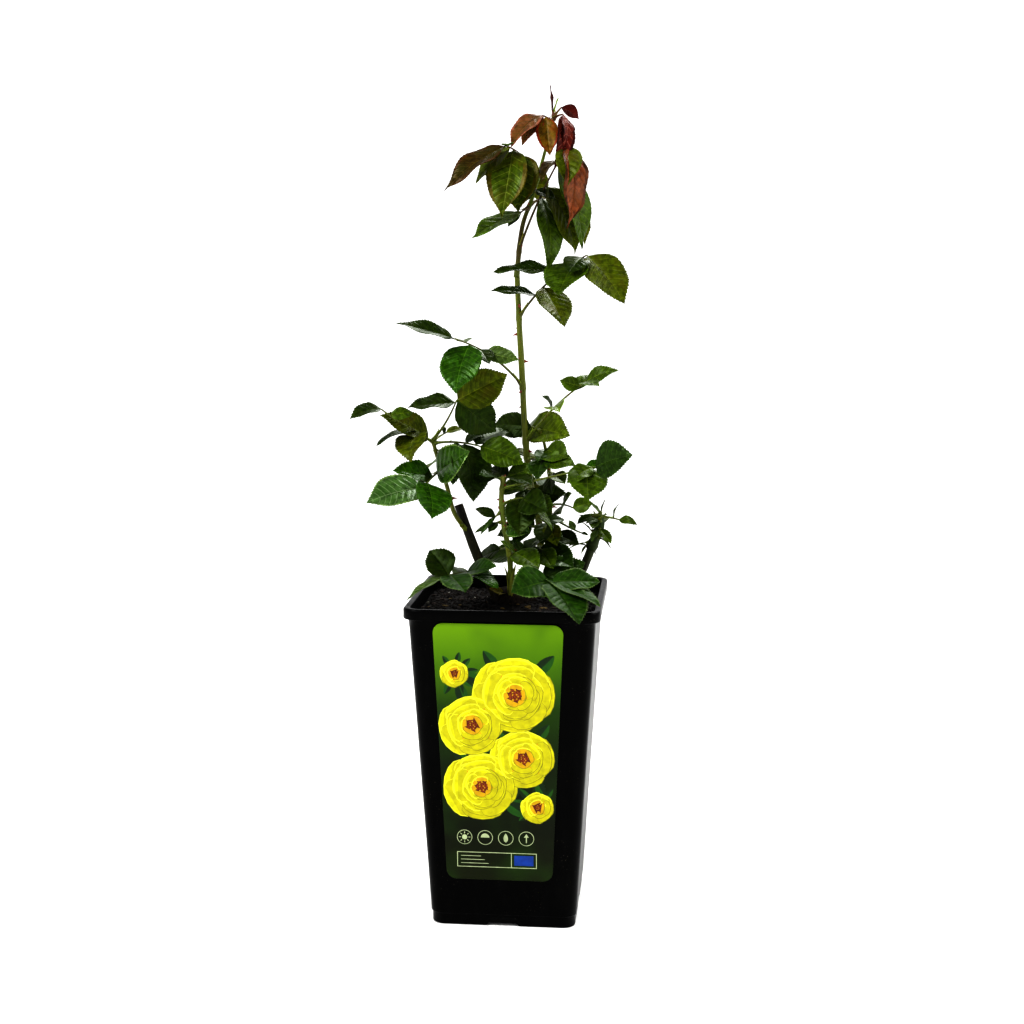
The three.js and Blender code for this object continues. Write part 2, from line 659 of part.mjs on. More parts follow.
// A leaf's stalk and leaflets, as solids that overlap where they join.
function leafSolids(curve, leaf) {
  const path = stalkPath(curve.getPoint(leaf.at), leaf);
  const steps = Math.max(1, Math.round(leaf.reach / STALK.span));
  const centres = Array.from({ length: steps + 1 }, (_, i) => pointOnPath(path, i / steps));
  const radii = centres.map((_, i) => lerp(STALK.foot, STALK.tip, i / steps));
  const blades = leaf.leaflets.map((row) => leaflet(pointOnPath(path, row[0]), row, leaf.curl));
  return [limb(centres, radii, STALK.sides), ...blades];
}

// The union's largest body, cut clear of the limbs that it must not touch and with the slivers
// that the cuts leave taken out.
function fuse(solids, limbs = []) {
  let joined = wasm.Manifold.union(solids);
  for (const other of limbs) joined = joined.subtract(other);
  const bodies = joined.asOriginal().simplify(SLIVER).decompose();
  return bodies.reduce((best, body) => (body.volume() > best.volume() ? body : best));
}

// ---------------------------------------------------------------- assembly

const group = new THREE.Group();
group.name = "potted_rose_bush";

function addPart(name, solid, [colour, roughness]) {
  const mesh = solid.getMesh();
  const geometry = new THREE.BufferGeometry();
  geometry.setAttribute("position", new THREE.BufferAttribute(mesh.vertProperties, 3));
  geometry.setIndex(new THREE.BufferAttribute(mesh.triVerts, 1));
  geometry.computeVertexNormals();
  const material = new THREE.MeshStandardMaterial({ color: colour, roughness, metalness: 0 });
  const part = new THREE.Mesh(geometry, material);
  part.name = name;
  group.add(part);
}

addPart("pot", makePot(), COLOURS.pot);
addPart("label", makeLabel(), COLOURS.label);
addPart("soil", makeSoil(), COLOURS.soil);
addPart("graft_union", graftKnuckle(), COLOURS.oldBark);

const grownCanes = {};
for (const [name, cane] of Object.entries(CANES)) {
  const clear = [graftKnuckle(GAP)];
  if (cane.springsFrom) clear.push(grownCanes[cane.springsFrom]);
  grownCanes[name] = limbAlong(cane, GAP);
  const old = name.endsWith("stub");
  addPart(name, fuse([limbAlong(cane), ...prickles(cane)], clear),
    old ? COLOURS.darkBark : COLOURS.greenBark);
}
const allGrown = Object.values(grownCanes);

const MASSES = [
  ["crown", CROWN_LEAVES, COLOURS.crown],
  ["left_tip", LEFT_TIP_LEAVES, COLOURS.leaf],
  ["right_tip", RIGHT_TIP_LEAVES, COLOURS.leaf],
  ["bud_tip", BUD_TIP_LEAVES, COLOURS.bud],
];
for (const [name, leaves, colour] of MASSES) {
  const curve = smoothCurve(SHOOTS[name].points);
  const blades = leaves.flatMap((leaf) => leafSolids(curve, leaf));
  addPart(name, fuse([limbAlong(SHOOTS[name]), ...blades], allGrown), colour);
}

for (const [name, leaf] of Object.entries(CANE_LEAVES)) {
  const curve = smoothCurve(CANES[leaf.cane].points);
  addPart(name, fuse(leafSolids(curve, leaf), allGrown), COLOURS.leaf);
}

export default group;
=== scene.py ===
"""Dresses a young grafted rose bush in a square nursery pot around its fixed construction.

Shapes are worked out in millimetres and degrees, and a mesh is written in metres. +Z is up and
the picture label faces -Y. Every leaf grows by the same rule and schedule as its solid.
"""

import logging
import math
from dataclasses import dataclass, field
from enum import Enum
from functools import cache
from itertools import combinations
from typing import Iterable, Sequence

import bpy
import numpy as np
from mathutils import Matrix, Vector


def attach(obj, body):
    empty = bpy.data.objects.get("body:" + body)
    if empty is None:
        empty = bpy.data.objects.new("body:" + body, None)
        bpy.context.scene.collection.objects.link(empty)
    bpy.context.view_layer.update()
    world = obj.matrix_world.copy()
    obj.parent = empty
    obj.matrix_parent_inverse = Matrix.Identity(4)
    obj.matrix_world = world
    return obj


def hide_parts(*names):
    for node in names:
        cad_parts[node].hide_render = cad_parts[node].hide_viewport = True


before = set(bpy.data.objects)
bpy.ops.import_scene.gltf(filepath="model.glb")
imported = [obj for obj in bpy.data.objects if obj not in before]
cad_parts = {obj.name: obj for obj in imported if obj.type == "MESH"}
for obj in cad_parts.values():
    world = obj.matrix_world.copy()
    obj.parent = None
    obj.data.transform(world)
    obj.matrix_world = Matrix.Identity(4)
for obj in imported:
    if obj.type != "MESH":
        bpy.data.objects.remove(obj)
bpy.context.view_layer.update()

log = logging.getLogger("rose_bush")

MM = 0.001
UP = np.array([0.0, 0.0, 1.0])
Material = bpy.types.Material
Socket = bpy.types.NodeSocket
Colour = tuple[float, float, float, float]
Point = tuple[float, float, float]
Pair = tuple[float, float]
Mesh = tuple[np.ndarray, list[list[int]]]


# ---- colour and small geometry


def paint(code: int) -> Colour:
    """Turns a screen colour into the linear colour that a shader takes.

    Args:
        code: The colour as 0xRRGGBB.

    Returns:
        Its linear red, green, blue and alpha.
    """
    shares = [((code >> shift) & 255) / 255 for shift in (16, 8, 0)]
    linear = [c / 12.92 if c <= 0.04045 else ((c + 0.055) / 1.055) ** 2.4 for c in shares]
    return (*linear, 1.0)


def unit(vector: np.ndarray) -> np.ndarray:
    """Returns the vector at length one."""
    return vector / np.linalg.norm(vector)


def lerp(first: float, last: float, share: float) -> float:
    """Returns the value a share of the way from first to last."""
    return first + (last - first) * share


def heading_vector(heading: float, rise: float) -> np.ndarray:
    """Returns the direction at a heading from +X towards +Y and a rise above level, in degrees."""
    h, r = math.radians(heading), math.radians(rise)
    return np.array([math.cos(h) * math.cos(r), math.sin(h) * math.cos(r), math.sin(r)])


def outward(heading: float, along: np.ndarray) -> np.ndarray:
    """Returns the direction square to a cane that points at a heading."""
    level = heading_vector(heading, 0)
    return unit(level - along * level.dot(along))


def turned(vector: np.ndarray, axis: np.ndarray, degrees: float) -> np.ndarray:
    """Returns a vector that is square to the axis, turned about it."""
    angle = math.radians(degrees)
    return vector * math.cos(angle) + np.cross(axis, vector) * math.sin(angle)


def polar(centre: Pair, reach: float, angle: float) -> Pair:
    """Returns the point of a plane at a reach and an angle in radians from a centre."""
    return centre[0] + reach * math.cos(angle), centre[1] + reach * math.sin(angle)


def full_turn(sides: int) -> np.ndarray:
    """Returns the angles in radians of equal steps round a circle."""
    return np.arange(sides) * 2 * math.pi / sides


def smooth_point(points: Sequence[Point], share: float) -> np.ndarray:
    """Finds a place on the smooth curve through some points.

    Args:
        points: The points, of which each span takes an equal share.
        share: The place, from 0 at the first point to 1 at the last.

    Returns:
        The point of the uniform Catmull-Rom curve there.
    """
    knots = np.array(points, float)
    knots = np.vstack([2 * knots[0] - knots[1], knots, 2 * knots[-1] - knots[-2]])
    spans = len(points) - 1
    span = min(int(share * spans), spans - 1)
    t = share * spans - span
    a, b, c, d = knots[span:span + 4]
    leave, arrive = (c - a) / 2, (d - b) / 2
    return (b + leave * t + (3 * (c - b) - 2 * leave - arrive) * t ** 2
            + (2 * (b - c) + leave + arrive) * t ** 3)


def carried_frames(path: np.ndarray) -> tuple[np.ndarray, np.ndarray, np.ndarray]:
    """Works out directions along a path that don't twist about it.

    Args:
        path: The path's points, one a row.

    Returns:
        The tangent at each point and two directions square to it.
    """
    tangents = np.gradient(path, axis=0)
    tangents /= np.linalg.norm(tangents, axis=1)[:, None]
    across = np.empty_like(path)
    carried = np.array([1.0, 0.2, 0.1])
    for i, tangent in enumerate(tangents):
        carried = unit(carried - tangent * carried.dot(tangent))
        across[i] = carried
    return tangents, across, np.cross(tangents, across)


def grid_quads(rows: int, columns: int, closed: bool = False) -> np.ndarray:
    """Lists the quads between the points of a grid that is stored row by row.

    Args:
        rows: The number of rows of points.
        columns: The number of points in a row.
        closed: Whether each row is a ring.

    Returns:
        One quad a line, as four point numbers.
    """
    i = np.arange(rows - 1)[:, None] * columns
    j = np.arange(columns if closed else columns - 1)[None, :]
    following = (j + 1) % columns
    quads = [i + j, i + following, i + columns + following, i + columns + j]
    return np.stack([q.ravel() for q in quads], axis=1)


def shell(sheets: np.ndarray) -> tuple[np.ndarray, np.ndarray, np.ndarray, np.ndarray]:
    """Joins two sheets of points round their edge.

    Args:
        sheets: The upper and the lower sheet, each as rows and columns of points.

    Returns:
        The points, and the quads of the upper sheet, of the lower sheet and of the edge.
    """
    _, rows, columns, _ = sheets.shape
    upper = grid_quads(rows, columns)
    ring = np.concatenate([
        np.arange(rows) * columns, (rows - 1) * columns + np.arange(1, columns),
        (np.arange(rows - 1) * columns + columns - 1)[::-1], np.arange(1, columns - 1)[::-1]])
    following = np.roll(ring, -1)
    below = rows * columns
    edge = np.stack([ring, following, following + below, ring + below], axis=1)
    return sheets.reshape(-1, 3), upper, upper[:, ::-1] + below, edge


class Patchwork:
    """Gathers patches of mesh in millimetres and writes them as one piece in metres."""

    def __init__(self) -> None:
        """Starts with no patch."""
        self._points: list[np.ndarray] = []
        self._faces: list[list[int]] = []
        self._slots: list[int] = []
        self._smooth: list[bool] = []
        self._materials: list[Material] = []
        self._count = 0

    def add(self, points: np.ndarray, faces: Iterable[Sequence[int]],
            materials: Sequence[Material], looks: Sequence[int] | None = None,
            smooth: bool = True) -> None:
        """Adds a patch.

        Args:
            points: Its points, one a row.
            faces: Its faces, as numbers of its own points.
            materials: The materials that it uses.
            looks: Which of them each face takes, the first of them if left out.
            smooth: Whether its faces are shaded smooth.
        """
        shifted = [[int(k) + self._count for k in face] for face in faces]
        slots = [self._slot(material) for material in materials]
        chosen = [0] * len(shifted) if looks is None else looks
        self._points.append(np.asarray(points, float).reshape(-1, 3))
        self._faces += shifted
        self._slots += [slots[int(look)] for look in chosen]
        self._smooth += [smooth] * len(shifted)
        self._count += len(self._points[-1])

    def _slot(self, material: Material) -> int:
        """Returns the material's slot number, making the slot at its first use."""
        if material not in self._materials:
            self._materials.append(material)
        return self._materials.index(material)

    def write(self, name: str, slot: str, replaced: Sequence[str] = ()) -> bpy.types.Object:
        """Makes the piece, which rides on the plant's one body.

        Args:
            name: The piece's name.
            slot: The name of a record's material slot; not used.
            replaced: The nodes of the construction that it stands for.

        Returns:
            The new object.
        """
        mesh = bpy.data.meshes.new(name)
        mesh.from_pydata((np.vstack(self._points) * MM).tolist(), [], self._faces)
        for material in self._materials:
            mesh.materials.append(material)
        mesh.polygons.foreach_set("material_index", self._slots)
        mesh.polygons.foreach_set("use_smooth", self._smooth)
        mesh.update()
        piece = bpy.data.objects.new(name, mesh)
        bpy.context.scene.collection.objects.link(piece)
        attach(piece, "root")
        if replaced:
            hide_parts(*replaced)
        log.info("%s: %d faces", name, len(self._faces))
        return piece


def stacked(rings: Sequence[np.ndarray]) -> Mesh:
    """Joins rings that run anticlockwise about the way they follow, and closes both ends.

    Args:
        rings: The rings, all with as many points.

    Returns:
        The points, and the faces from the first ring on, with those of the two ends at the last.
    """
    sides = len(rings[0])
    last = (len(rings) - 1) * sides
    faces = grid_quads(len(rings), sides, closed=True).tolist()
    faces += [list(range(sides))[::-1], [last + k for k in range(sides)]]
    return np.vstack(rings), faces


def rings_round(path: np.ndarray, radii: np.ndarray, sides: int) -> np.ndarray:
    """Sets rings of points round a path.

    Args:
        path: The points of its centre line.
        radii: For each of them one radius, or the radii of its ring's points.
        sides: The number of points in a ring.

    Returns:
        The points, ring by ring.
    """
    _, across, over = carried_frames(path)
    angles = full_turn(sides)
    return (path[:, None, :] + across[:, None, :] * (np.cos(angles) * radii)[..., None]
            + over[:, None, :] * (np.sin(angles) * radii)[..., None])


def tube(path: np.ndarray, radii: np.ndarray, sides: int) -> Mesh:
    """Returns a closed round tube with a radius at each point of its path."""
    return stacked(rings_round(path, radii[:, None], sides))


# ---- finishes


class Shader:
    """Writes the nodes of one material around its Principled shader."""

    def __init__(self, name: str, roughness: float, specular: float = 0.5) -> None:
        """Starts a material.

        Args:
            name: The material's name.
            roughness: The roughness of the whole surface.
            specular: The specular level of the whole surface.
        """
        self.material = bpy.data.materials.new(name)
        self.material.use_nodes = True
        self.tree = self.material.node_tree
        self.surface = self.tree.nodes["Principled BSDF"].inputs
        self.surface["Roughness"].default_value = roughness
        self.surface["Specular IOR Level"].default_value = specular

    def node(self, kind: str, feeds: dict[str, Socket] | None = None,
             **values: float | Point) -> bpy.types.Node:
        """Adds a node.

        Args:
            kind: The node's type name, from after ShaderNode.
            feeds: The socket that feeds each input that is joined.
            values: A value for each input that is set, by its name with _ for a space.

        Returns:
            The new node.
        """
        made = self.tree.nodes.new(f"ShaderNode{kind}")
        for name, value in values.items():
            made.inputs[name.replace("_", " ")].default_value = value
        for name, source in (feeds or {}).items():
            self.feed(made.inputs[name], source)
        return made

    def feed(self, target: Socket, source: Socket | Colour) -> None:
        """Joins an input to another socket or sets it to a colour.

        Args:
            target: The input.
            source: The socket or the colour.
        """
        if isinstance(source, Socket):
            self.tree.links.new(source, target)
        else:
            target.default_value = source

    def place(self, stretch: Point = (1, 1, 1)) -> Socket:
        """Returns the place on the object, with each axis scaled."""
        place = self.node("TexCoord").outputs["Object"]
        return self.node("Mapping", {"Vector": place}, Scale=stretch).outputs["Vector"]

    def noise(self, grain: float, stretch: Point = (1, 1, 1), detail: float = 4) -> Socket:
        """Returns a noise whose patches are about grain millimetres across."""
        return self.node("TexNoise", {"Vector": self.place(stretch)}, Scale=1 / (grain * MM),
                         Detail=detail, Roughness=0.6).outputs["Fac"]

    def cells(self, grain: float, stretch: Point = (1, 1, 1)) -> Socket:
        """Returns the distance within round cells that are about grain millimetres across."""
        return self.node("TexVoronoi", {"Vector": self.place(stretch)},
                         Scale=1 / (grain * MM)).outputs["Distance"]

    def mask(self, source: Socket, low: float, high: float) -> Socket:
        """Returns 0 to 1 as a source goes from low to high."""
        return self.node("MapRange", {"Value": source}, From_Min=low,
                         From_Max=high).outputs["Result"]

    def height(self, low: float, high: float) -> Socket:
        """Returns 0 to 1 between two heights of the object in millimetres."""
        split = self.node("SeparateXYZ", {"Vector": self.place()})
        return self.mask(split.outputs["Z"], low * MM, high * MM)

    def product(self, first: Socket, second: Socket) -> Socket:
        """Returns two values multiplied by each other.

        Args:
            first: The one value.
            second: The other.

        Returns:
            Their product.
        """
        made = self.node("Math")
        made.operation = "MULTIPLY"
        self.feed(made.inputs[0], first)
        self.feed(made.inputs[1], second)
        return made.outputs["Value"]

    def ramp(self, source: Socket, stops: Sequence[tuple[float, Colour]]) -> Socket:
        """Colours a surface by the value of a source.

        Args:
            source: The value, from 0 to 1.
            stops: The values at which the colour is given, and the colours.

        Returns:
            The colour between the stops.
        """
        made = self.node("ValToRGB", {"Fac": source})
        elements = made.color_ramp.elements
        while len(elements) < len(stops):
            elements.new(0.5)
        for element, (position, colour) in zip(elements, stops):
            element.position = position
            element.color = colour
        return made.outputs["Color"]

    def mix(self, share: Socket, first: Socket | Colour, second: Socket | Colour) -> Socket:
        """Mixes two colours.

        Args:
            share: The second colour's share.
            first: The one colour.
            second: The other.

        Returns:
            The mixed colour.
        """
        made = self.node("Mix")
        made.data_type = "RGBA"
        self.feed(made.inputs["Factor"], share)
        for name, value in (("A", first), ("B", second)):
            self.feed(next(s for s in made.inputs if s.name == name and s.type == "RGBA"), value)
        return next(s for s in made.outputs if s.type == "RGBA")

    def colour(self, source: Socket) -> None:
        """Feeds the base colour."""
        self.feed(self.surface["Base Color"], source)

    def rough(self, source: Socket, low: float, high: float) -> None:
        """Makes the roughness run from low to high with a source."""
        made = self.node("MapRange", {"Value": source}, To_Min=low, To_Max=high)
        self.feed(self.surface["Roughness"], made.outputs["Result"])

    def bump(self, source: Socket, strength: float, depth: float) -> None:
        """Raises the surface, over any bump set before.

        Args:
            source: The height, from 0 to 1.
            strength: How strongly it shows.
            depth: The height's range in millimetres.
        """
        made = self.node("Bump", {"Height": source}, Strength=strength, Distance=depth * MM)
        before = self.surface["Normal"]
        if before.is_linked:
            self.feed(made.inputs["Normal"], before.links[0].from_socket)
        self.feed(before, made.outputs["Normal"])


@dataclass(frozen=True)
class PotPlastic:
    """Black moulded plastic with a soft gloss, fine scratches and dust."""

    body: int = 0x020202
    worn: int = 0x060606
    dust: int = 0x3a3630

    def build(self) -> Material:
        """Returns the material."""
        shader = Shader("pot_plastic", 0.26, specular=0.045)
        worn = shader.mask(shader.noise(9, (1, 1, 0.35)), 0.5, 0.75)
        plastic = shader.mix(worn, paint(self.body), paint(self.worn))
        specks = shader.mask(shader.cells(2.6), 0.16, 0.1)
        patches = shader.mask(shader.noise(30), 0.52, 0.68)
        shader.colour(shader.mix(shader.product(specks, patches), plastic, paint(self.dust)))
        shader.rough(shader.noise(5, (1, 1, 0.2)), 0.2, 0.42)
        shader.bump(shader.noise(1.1), 0.12, 0.15)
        shader.bump(shader.noise(22), 0.25, 0.5)
        return shader.material


@dataclass(frozen=True)
class LabelFilm:
    """Printed film that runs from bright green at its head to near-black green at its foot."""

    low: float
    high: float
    stops: tuple[tuple[float, int], ...] = (
        (0.0, 0x141a03), (0.2, 0x0d1303), (0.45, 0x101c03), (0.68, 0x1e3604), (0.84, 0x426604),
        (1.0, 0x608604))

    def build(self) -> Material:
        """Returns the material."""
        shader = Shader("label_film", 0.34, specular=0.13)
        blur = shader.noise(38, detail=2)
        printed = shader.ramp(shader.height(self.low, self.high),
                              [(place, paint(code)) for place, code in self.stops])
        shade = shader.mix(shader.mask(blur, 0.35, 0.75), printed, paint(0x22400a))
        cloud = shader.mask(shader.noise(55, detail=2), 0.45, 0.8)
        shader.colour(shader.mix(cloud, printed, shade))
        shader.bump(shader.noise(14), 0.1, 0.2)
        return shader.material


def shaded(colour: Colour, share: float) -> Colour:
    """Returns a colour with its light multiplied by a share."""
    return (*(channel * share for channel in colour[:3]), 1.0)


class Ink(Enum):
    """The printed colours of the label."""

    PALE = 0xdedc2c
    YELLOW = 0xcac604
    DEEP = 0xb6b004
    GOLD = 0xc29804
    OCHRE = 0x7e7c02
    BROWN = 0x5e2404
    RUST = 0x843808
    LEAF = 0x1c4c08
    SHADE = 0x0b2604
    LINE = 0xa6b28a
    BLOCK = 0x103a8a

    @cache
    def material(self) -> Material:
        """Returns the ink's material, with the faint grain of print, made at its first use."""
        shader = Shader(f"ink_{self.name.lower()}", 0.36, specular=0.2)
        near = paint(self.value)
        clouds = shader.mask(shader.noise(5.5, detail=3), 0.35, 0.7)
        shader.colour(shader.mix(clouds, near, shaded(near, 0.7)))
        return shader.material


@dataclass(frozen=True)
class Granular:
    """A rough crumbly or papery matter with two colours in patches."""

    name: str
    first: int
    second: int
    grain: float
    roughness: float = 0.9
    relief: float = 0.4

    def build(self) -> Material:
        """Returns the material."""
        shader = Shader(self.name, self.roughness, specular=0.25)
        share = shader.mask(shader.noise(self.grain, detail=6), 0.35, 0.65)
        shader.colour(shader.mix(share, paint(self.first), paint(self.second)))
        shader.bump(shader.noise(self.grain / 3, detail=6), 0.7, self.relief)
        return shader.material


@dataclass(frozen=True)
class Bark:
    """The skin of a cane: colours by height, with streaks, flecks and fine lines along it."""

    name: str
    stops: tuple[tuple[float, int], ...]
    streak: int
    fleck: int
    roughness: float = 0.45
    relief: float = 0.15

    def build(self) -> Material:
        """Returns the material."""
        low, high = self.stops[0][0], self.stops[-1][0]
        shader = Shader(self.name, self.roughness, specular=0.2)
        places = [((z - low) / (high - low), paint(code)) for z, code in self.stops]
        skin = shader.ramp(shader.height(low, high), places)
        streaks = shader.mask(shader.noise(2.2, (1, 1, 0.12), detail=3), 0.52, 0.72)
        streaked = shader.mix(streaks, skin, paint(self.streak))
        flecks = shader.mask(shader.cells(1.7, (1, 1, 0.45)), 0.16, 0.08)
        shader.colour(shader.mix(flecks, streaked, paint(self.fleck)))
        shader.bump(shader.noise(0.9, (1, 1, 0.15)), 0.5, self.relief)
        shader.bump(shader.noise(3.5), 0.4, self.relief)
        return shader.material


@dataclass(frozen=True)
class LeafSkin:
    """The plain colours of one kind of leaflet and how glossy it is."""

    top: int
    blush: int
    vein: int
    edge: int
    under: int
    rib: int
    roughness: float = 0.36
    gloss: float = 0.16

    def build(self, name: str) -> list[Material]:
        """Makes the materials of the top, its veins, the edge, the underside and its ribs.

        Args:
            name: The kind of leaflet, for the materials' names.

        Returns:
            The five materials in that order.
        """
        faces = (("top", self.top, self.blush, 0.0), ("vein", self.vein, self.vein, 0.05),
                 ("edge", self.edge, self.top, 0.05), ("under", self.under, self.rib, 0.25),
                 ("rib", self.rib, self.under, 0.25))
        return [self._face(f"leaf_{name}_{part}", code, second, self.roughness + matt)
                for part, code, second, matt in faces]

    def _face(self, name: str, code: int, second: int, roughness: float) -> Material:
        """Makes one of the materials, whose mottling has no place of its own.

        Args:
            name: Its name.
            code: Its main colour.
            second: The colour of its clouds.
            roughness: Its roughness.

        Returns:
            The material.
        """
        shader = Shader(name, roughness, specular=self.gloss)
        near = paint(code)
        tint = (*(lerp(1.0, c / max(near[:3]), 0.6) for c in near[:3]), 1.0)
        shader.surface["Specular Tint"].default_value = tint
        mottled = shader.mix(shader.mask(shader.noise(3.8), 0.41, 0.6), shaded(near, 1.3),
                             shaded(near, 0.6))
        clouds = shader.mask(shader.noise(13, detail=2), 0.48, 0.78)
        shader.colour(shader.mix(clouds, mottled, paint(second)))
        shader.bump(shader.noise(2.6, detail=3), 0.45, 0.4)
        return shader.material


class Tone(Enum):
    """The kinds of leaflet, from the red young ones to the dark grown ones."""

    DEEP = LeafSkin(0x1a2804, 0x242c05, 0x28360a, 0x1f2c06, 0x26300a, 0x303c0e)
    GRASS = LeafSkin(0x324406, 0x283606, 0x485810, 0x384c08, 0x424a0a, 0x586016)
    FRESH = LeafSkin(0x20380a, 0x1a300a, 0x344a18, 0x485a2e, 0x30420e, 0x4a5a20, 0.44, 0.11)
    BRIGHT = LeafSkin(0x244206, 0x1e3605, 0x385610, 0x2c4a08, 0x3e4e0c, 0x546418, 0.26, 0.2)
    BLUISH = LeafSkin(0x1c2e08, 0x223409, 0x2e4212, 0x25380b, 0x2e3a0b, 0x425018, 0.3, 0.2)
    OLIVE = LeafSkin(0x3a4404, 0x44400a, 0x525a10, 0x404804, 0x4e540a, 0x666814)
    LIME = LeafSkin(0x485806, 0x3c4804, 0x647022, 0x404806, 0x545e0a, 0x687420)
    STREAKED = LeafSkin(0x223a08, 0x2a4406, 0x3a541a, 0x546830, 0x36460f, 0x506422, 0.22, 0.42)
    # SHEEN is a painted sheen: its pale grey-green top, pale veins and pale edge paint the white glossy
    # streaks of a dark green leaf into its colours, over its real gloss.
    SHEEN = LeafSkin(0x3a5426, 0x24400c, 0x6a8054, 0x5a7038, 0x36460f, 0x506422, 0.22, 0.5)
    BRONZE = LeafSkin(0x2e2206, 0x282a06, 0x3e340e, 0x362207, 0x34220a, 0x4a340e)
    CROWN_OLIVE = LeafSkin(0x364408, 0x403a0a, 0x5c6624, 0x443c0a, 0x4e480e, 0x645f1c, 0.3)
    SALMON = LeafSkin(0x54381a, 0x6c4226, 0x463a16, 0x744632, 0x88543e, 0x483418, 0.4)
    RUST = LeafSkin(0x5a420a, 0x74340f, 0x584c12, 0x6c280a, 0x7e3e20, 0x542a12, 0.36)
    TERRACOTTA = LeafSkin(0x6e3c20, 0x5a3618, 0x502c14, 0x341c0a, 0x7a4a30, 0x4e2e14, 0.4)
    MAROON = LeafSkin(0x4a1810, 0x5e2818, 0x8a4e40, 0x2c0c08, 0x683024, 0x7c4232, 0.42, 0.1)
    WINE = LeafSkin(0x280806, 0x380e0a, 0x3c120c, 0x200504, 0x3c100c, 0x4c1810, 0.3)
    GREY = LeafSkin(0x3e5022, 0x324018, 0x5a6c34, 0x465a24, 0x4c5e30, 0x6c7c46)
    STRAW = LeafSkin(0x625c10, 0x6a5412, 0x706a24, 0x4a4210, 0x5a5416, 0x4e4616, 0.6)
    YELLOW = LeafSkin(0x4a5e05, 0x3c4c06, 0x687a24, 0x6c8030, 0x5a6a10, 0x78883a)

    @cache
    def materials(self) -> list[Material]:
        """Returns the tone's five materials, made at its first use."""
        return self.value.build(self.name.lower())


# ---- the plant's schedule


class Curl(Enum):
    """How far a leaflet bends down from its base to its tip, in degrees."""

    FLAT = 12
    MATURE = 22
    YOUNG = 48
    ARCHED = 55
    ROLLED = 75
    HOOKED = 80


@dataclass(frozen=True)
class Leaflet:
    """One blade: its place on the stalk, its size in millimetres and its angles in degrees."""

    place: float
    length: float
    heading: float
    rise: float
    roll: float
    breadth: float
    tone: Tone


@dataclass(frozen=True)
class Leaf:
    """A compound leaf: where its stalk leaves the cane, how the stalk runs, and its blades."""

    at: float
    heading: float
    rise: float
    sag: float
    reach: float
    curl: Curl
    leaflets: tuple[Leaflet, ...]

    def stalk_path(self, start: np.ndarray, steps: int = 20) -> np.ndarray:
        """Walks the stalk, whose rise falls steadily by its sag.

        Args:
            start: The point on the cane's centre line that it leaves.
            steps: The number of equal steps.

        Returns:
            Its points, one a row.
        """
        walk = [heading_vector(self.heading, self.rise - self.sag * (i + 0.5) / steps)
                for i in range(steps)]
        return start + np.vstack([np.zeros(3), np.cumsum(walk, axis=0)]) * self.reach / steps


@dataclass(frozen=True)
class Limb:
    """A cane or shoot: its radii at foot and tip, its points and its count of prickles."""

    radii: Pair
    points: tuple[Point, ...]
    prickles: int = 0
    slimness: float = 0.87

    def centre(self, share: float) -> np.ndarray:
        """Returns the centre line's point at a share of the way to the tip."""
        return smooth_point(self.points, share)

    def way(self, share: float) -> np.ndarray:
        """Returns the direction of the centre line at a share of the way to the tip."""
        return unit(self.centre(min(share + 0.01, 1)) - self.centre(max(share - 0.01, 0)))

    def radius(self, share: float | np.ndarray) -> float | np.ndarray:
        """Returns the radius at a share of the way to the tip."""
        return lerp(*self.radii, share) * self.slimness


def grow(at: float, heading: float, rise: float, sag: float, reach: float,
         *blades: tuple[float, float, float, float, float, float, Tone],
         curl: Curl = Curl.MATURE) -> Leaf:
    """Writes down a leaf.

    Args:
        at: Where its stalk leaves the cane, as a share of the way to the cane's tip.
        heading: The stalk's heading in degrees.
        rise: How steeply the stalk starts, in degrees.
        sag: How much of that it loses on its way.
        reach: The stalk's length in millimetres.
        blades: The seven values of each leaflet.
        curl: How far its leaflets bend down.

    Returns:
        The leaf.
    """
    return Leaf(at, heading, rise, sag, reach, curl, tuple(Leaflet(*blade) for blade in blades))


CANES = {
    "main_cane": Limb((3.4, 2.4), ((10, 3, 249), (22, 14, 282), (22, 18, 306), (15, 15, 340),
                                   (11, 12, 380), (9, 8, 425), (7, 6, 465), (5, 6, 505)), 11),
    "front_cane": Limb((3.2, 2.7), ((1, -7, 250), (1, -9, 284), (-3, -12, 308), (-5, -15, 332),
                                    (-3, -17, 350)), 2, 0.7),
    "left_stub": Limb((4.2, 3.4), ((-11, 6, 250), (-24, 10, 275), (-33, 10, 298),
                                   (-42, 10, 323)), slimness=1),
    "left_side_cane": Limb((2.1, 1.8), ((-35, 9, 302), (-44, 0, 318), (-49, -3, 338),
                                        (-53, -4, 352)), 1),
    "right_stub": Limb((4.1, 3.3), ((12, 12, 251), (34, 18, 258), (54, 20, 268), (60, 19, 279),
                                    (64, 18, 290)), slimness=1),
    "right_shoot": Limb((2.2, 1.6), ((3, 17, 250), (26, 26, 285), (30, 24, 318), (30, 18, 345),
                                     (28, 16, 362)), 1),
}

SHOOTS = {
    "crown": Limb((2.3, 0.9), ((5, 6, 505.3), (9, 6, 540), (17, 4, 563), (25, 1, 590),
                               (31, 0, 612), (34, 0, 624))),
    "left_tip": Limb((1.8, 1.3), ((-53.1, -4, 352.3), (-57, -5, 364), (-60, -4, 376))),
    "right_tip": Limb((1.6, 1.1), ((27.9, 16, 362.3), (26, 15, 372), (23, 14, 382))),
    "bud_tip": Limb((3.8, 3.0), ((64.2, 18, 290.7), (68, 17, 299), (71, 16, 308),
                                 (70, 15, 315)), slimness=1),
}

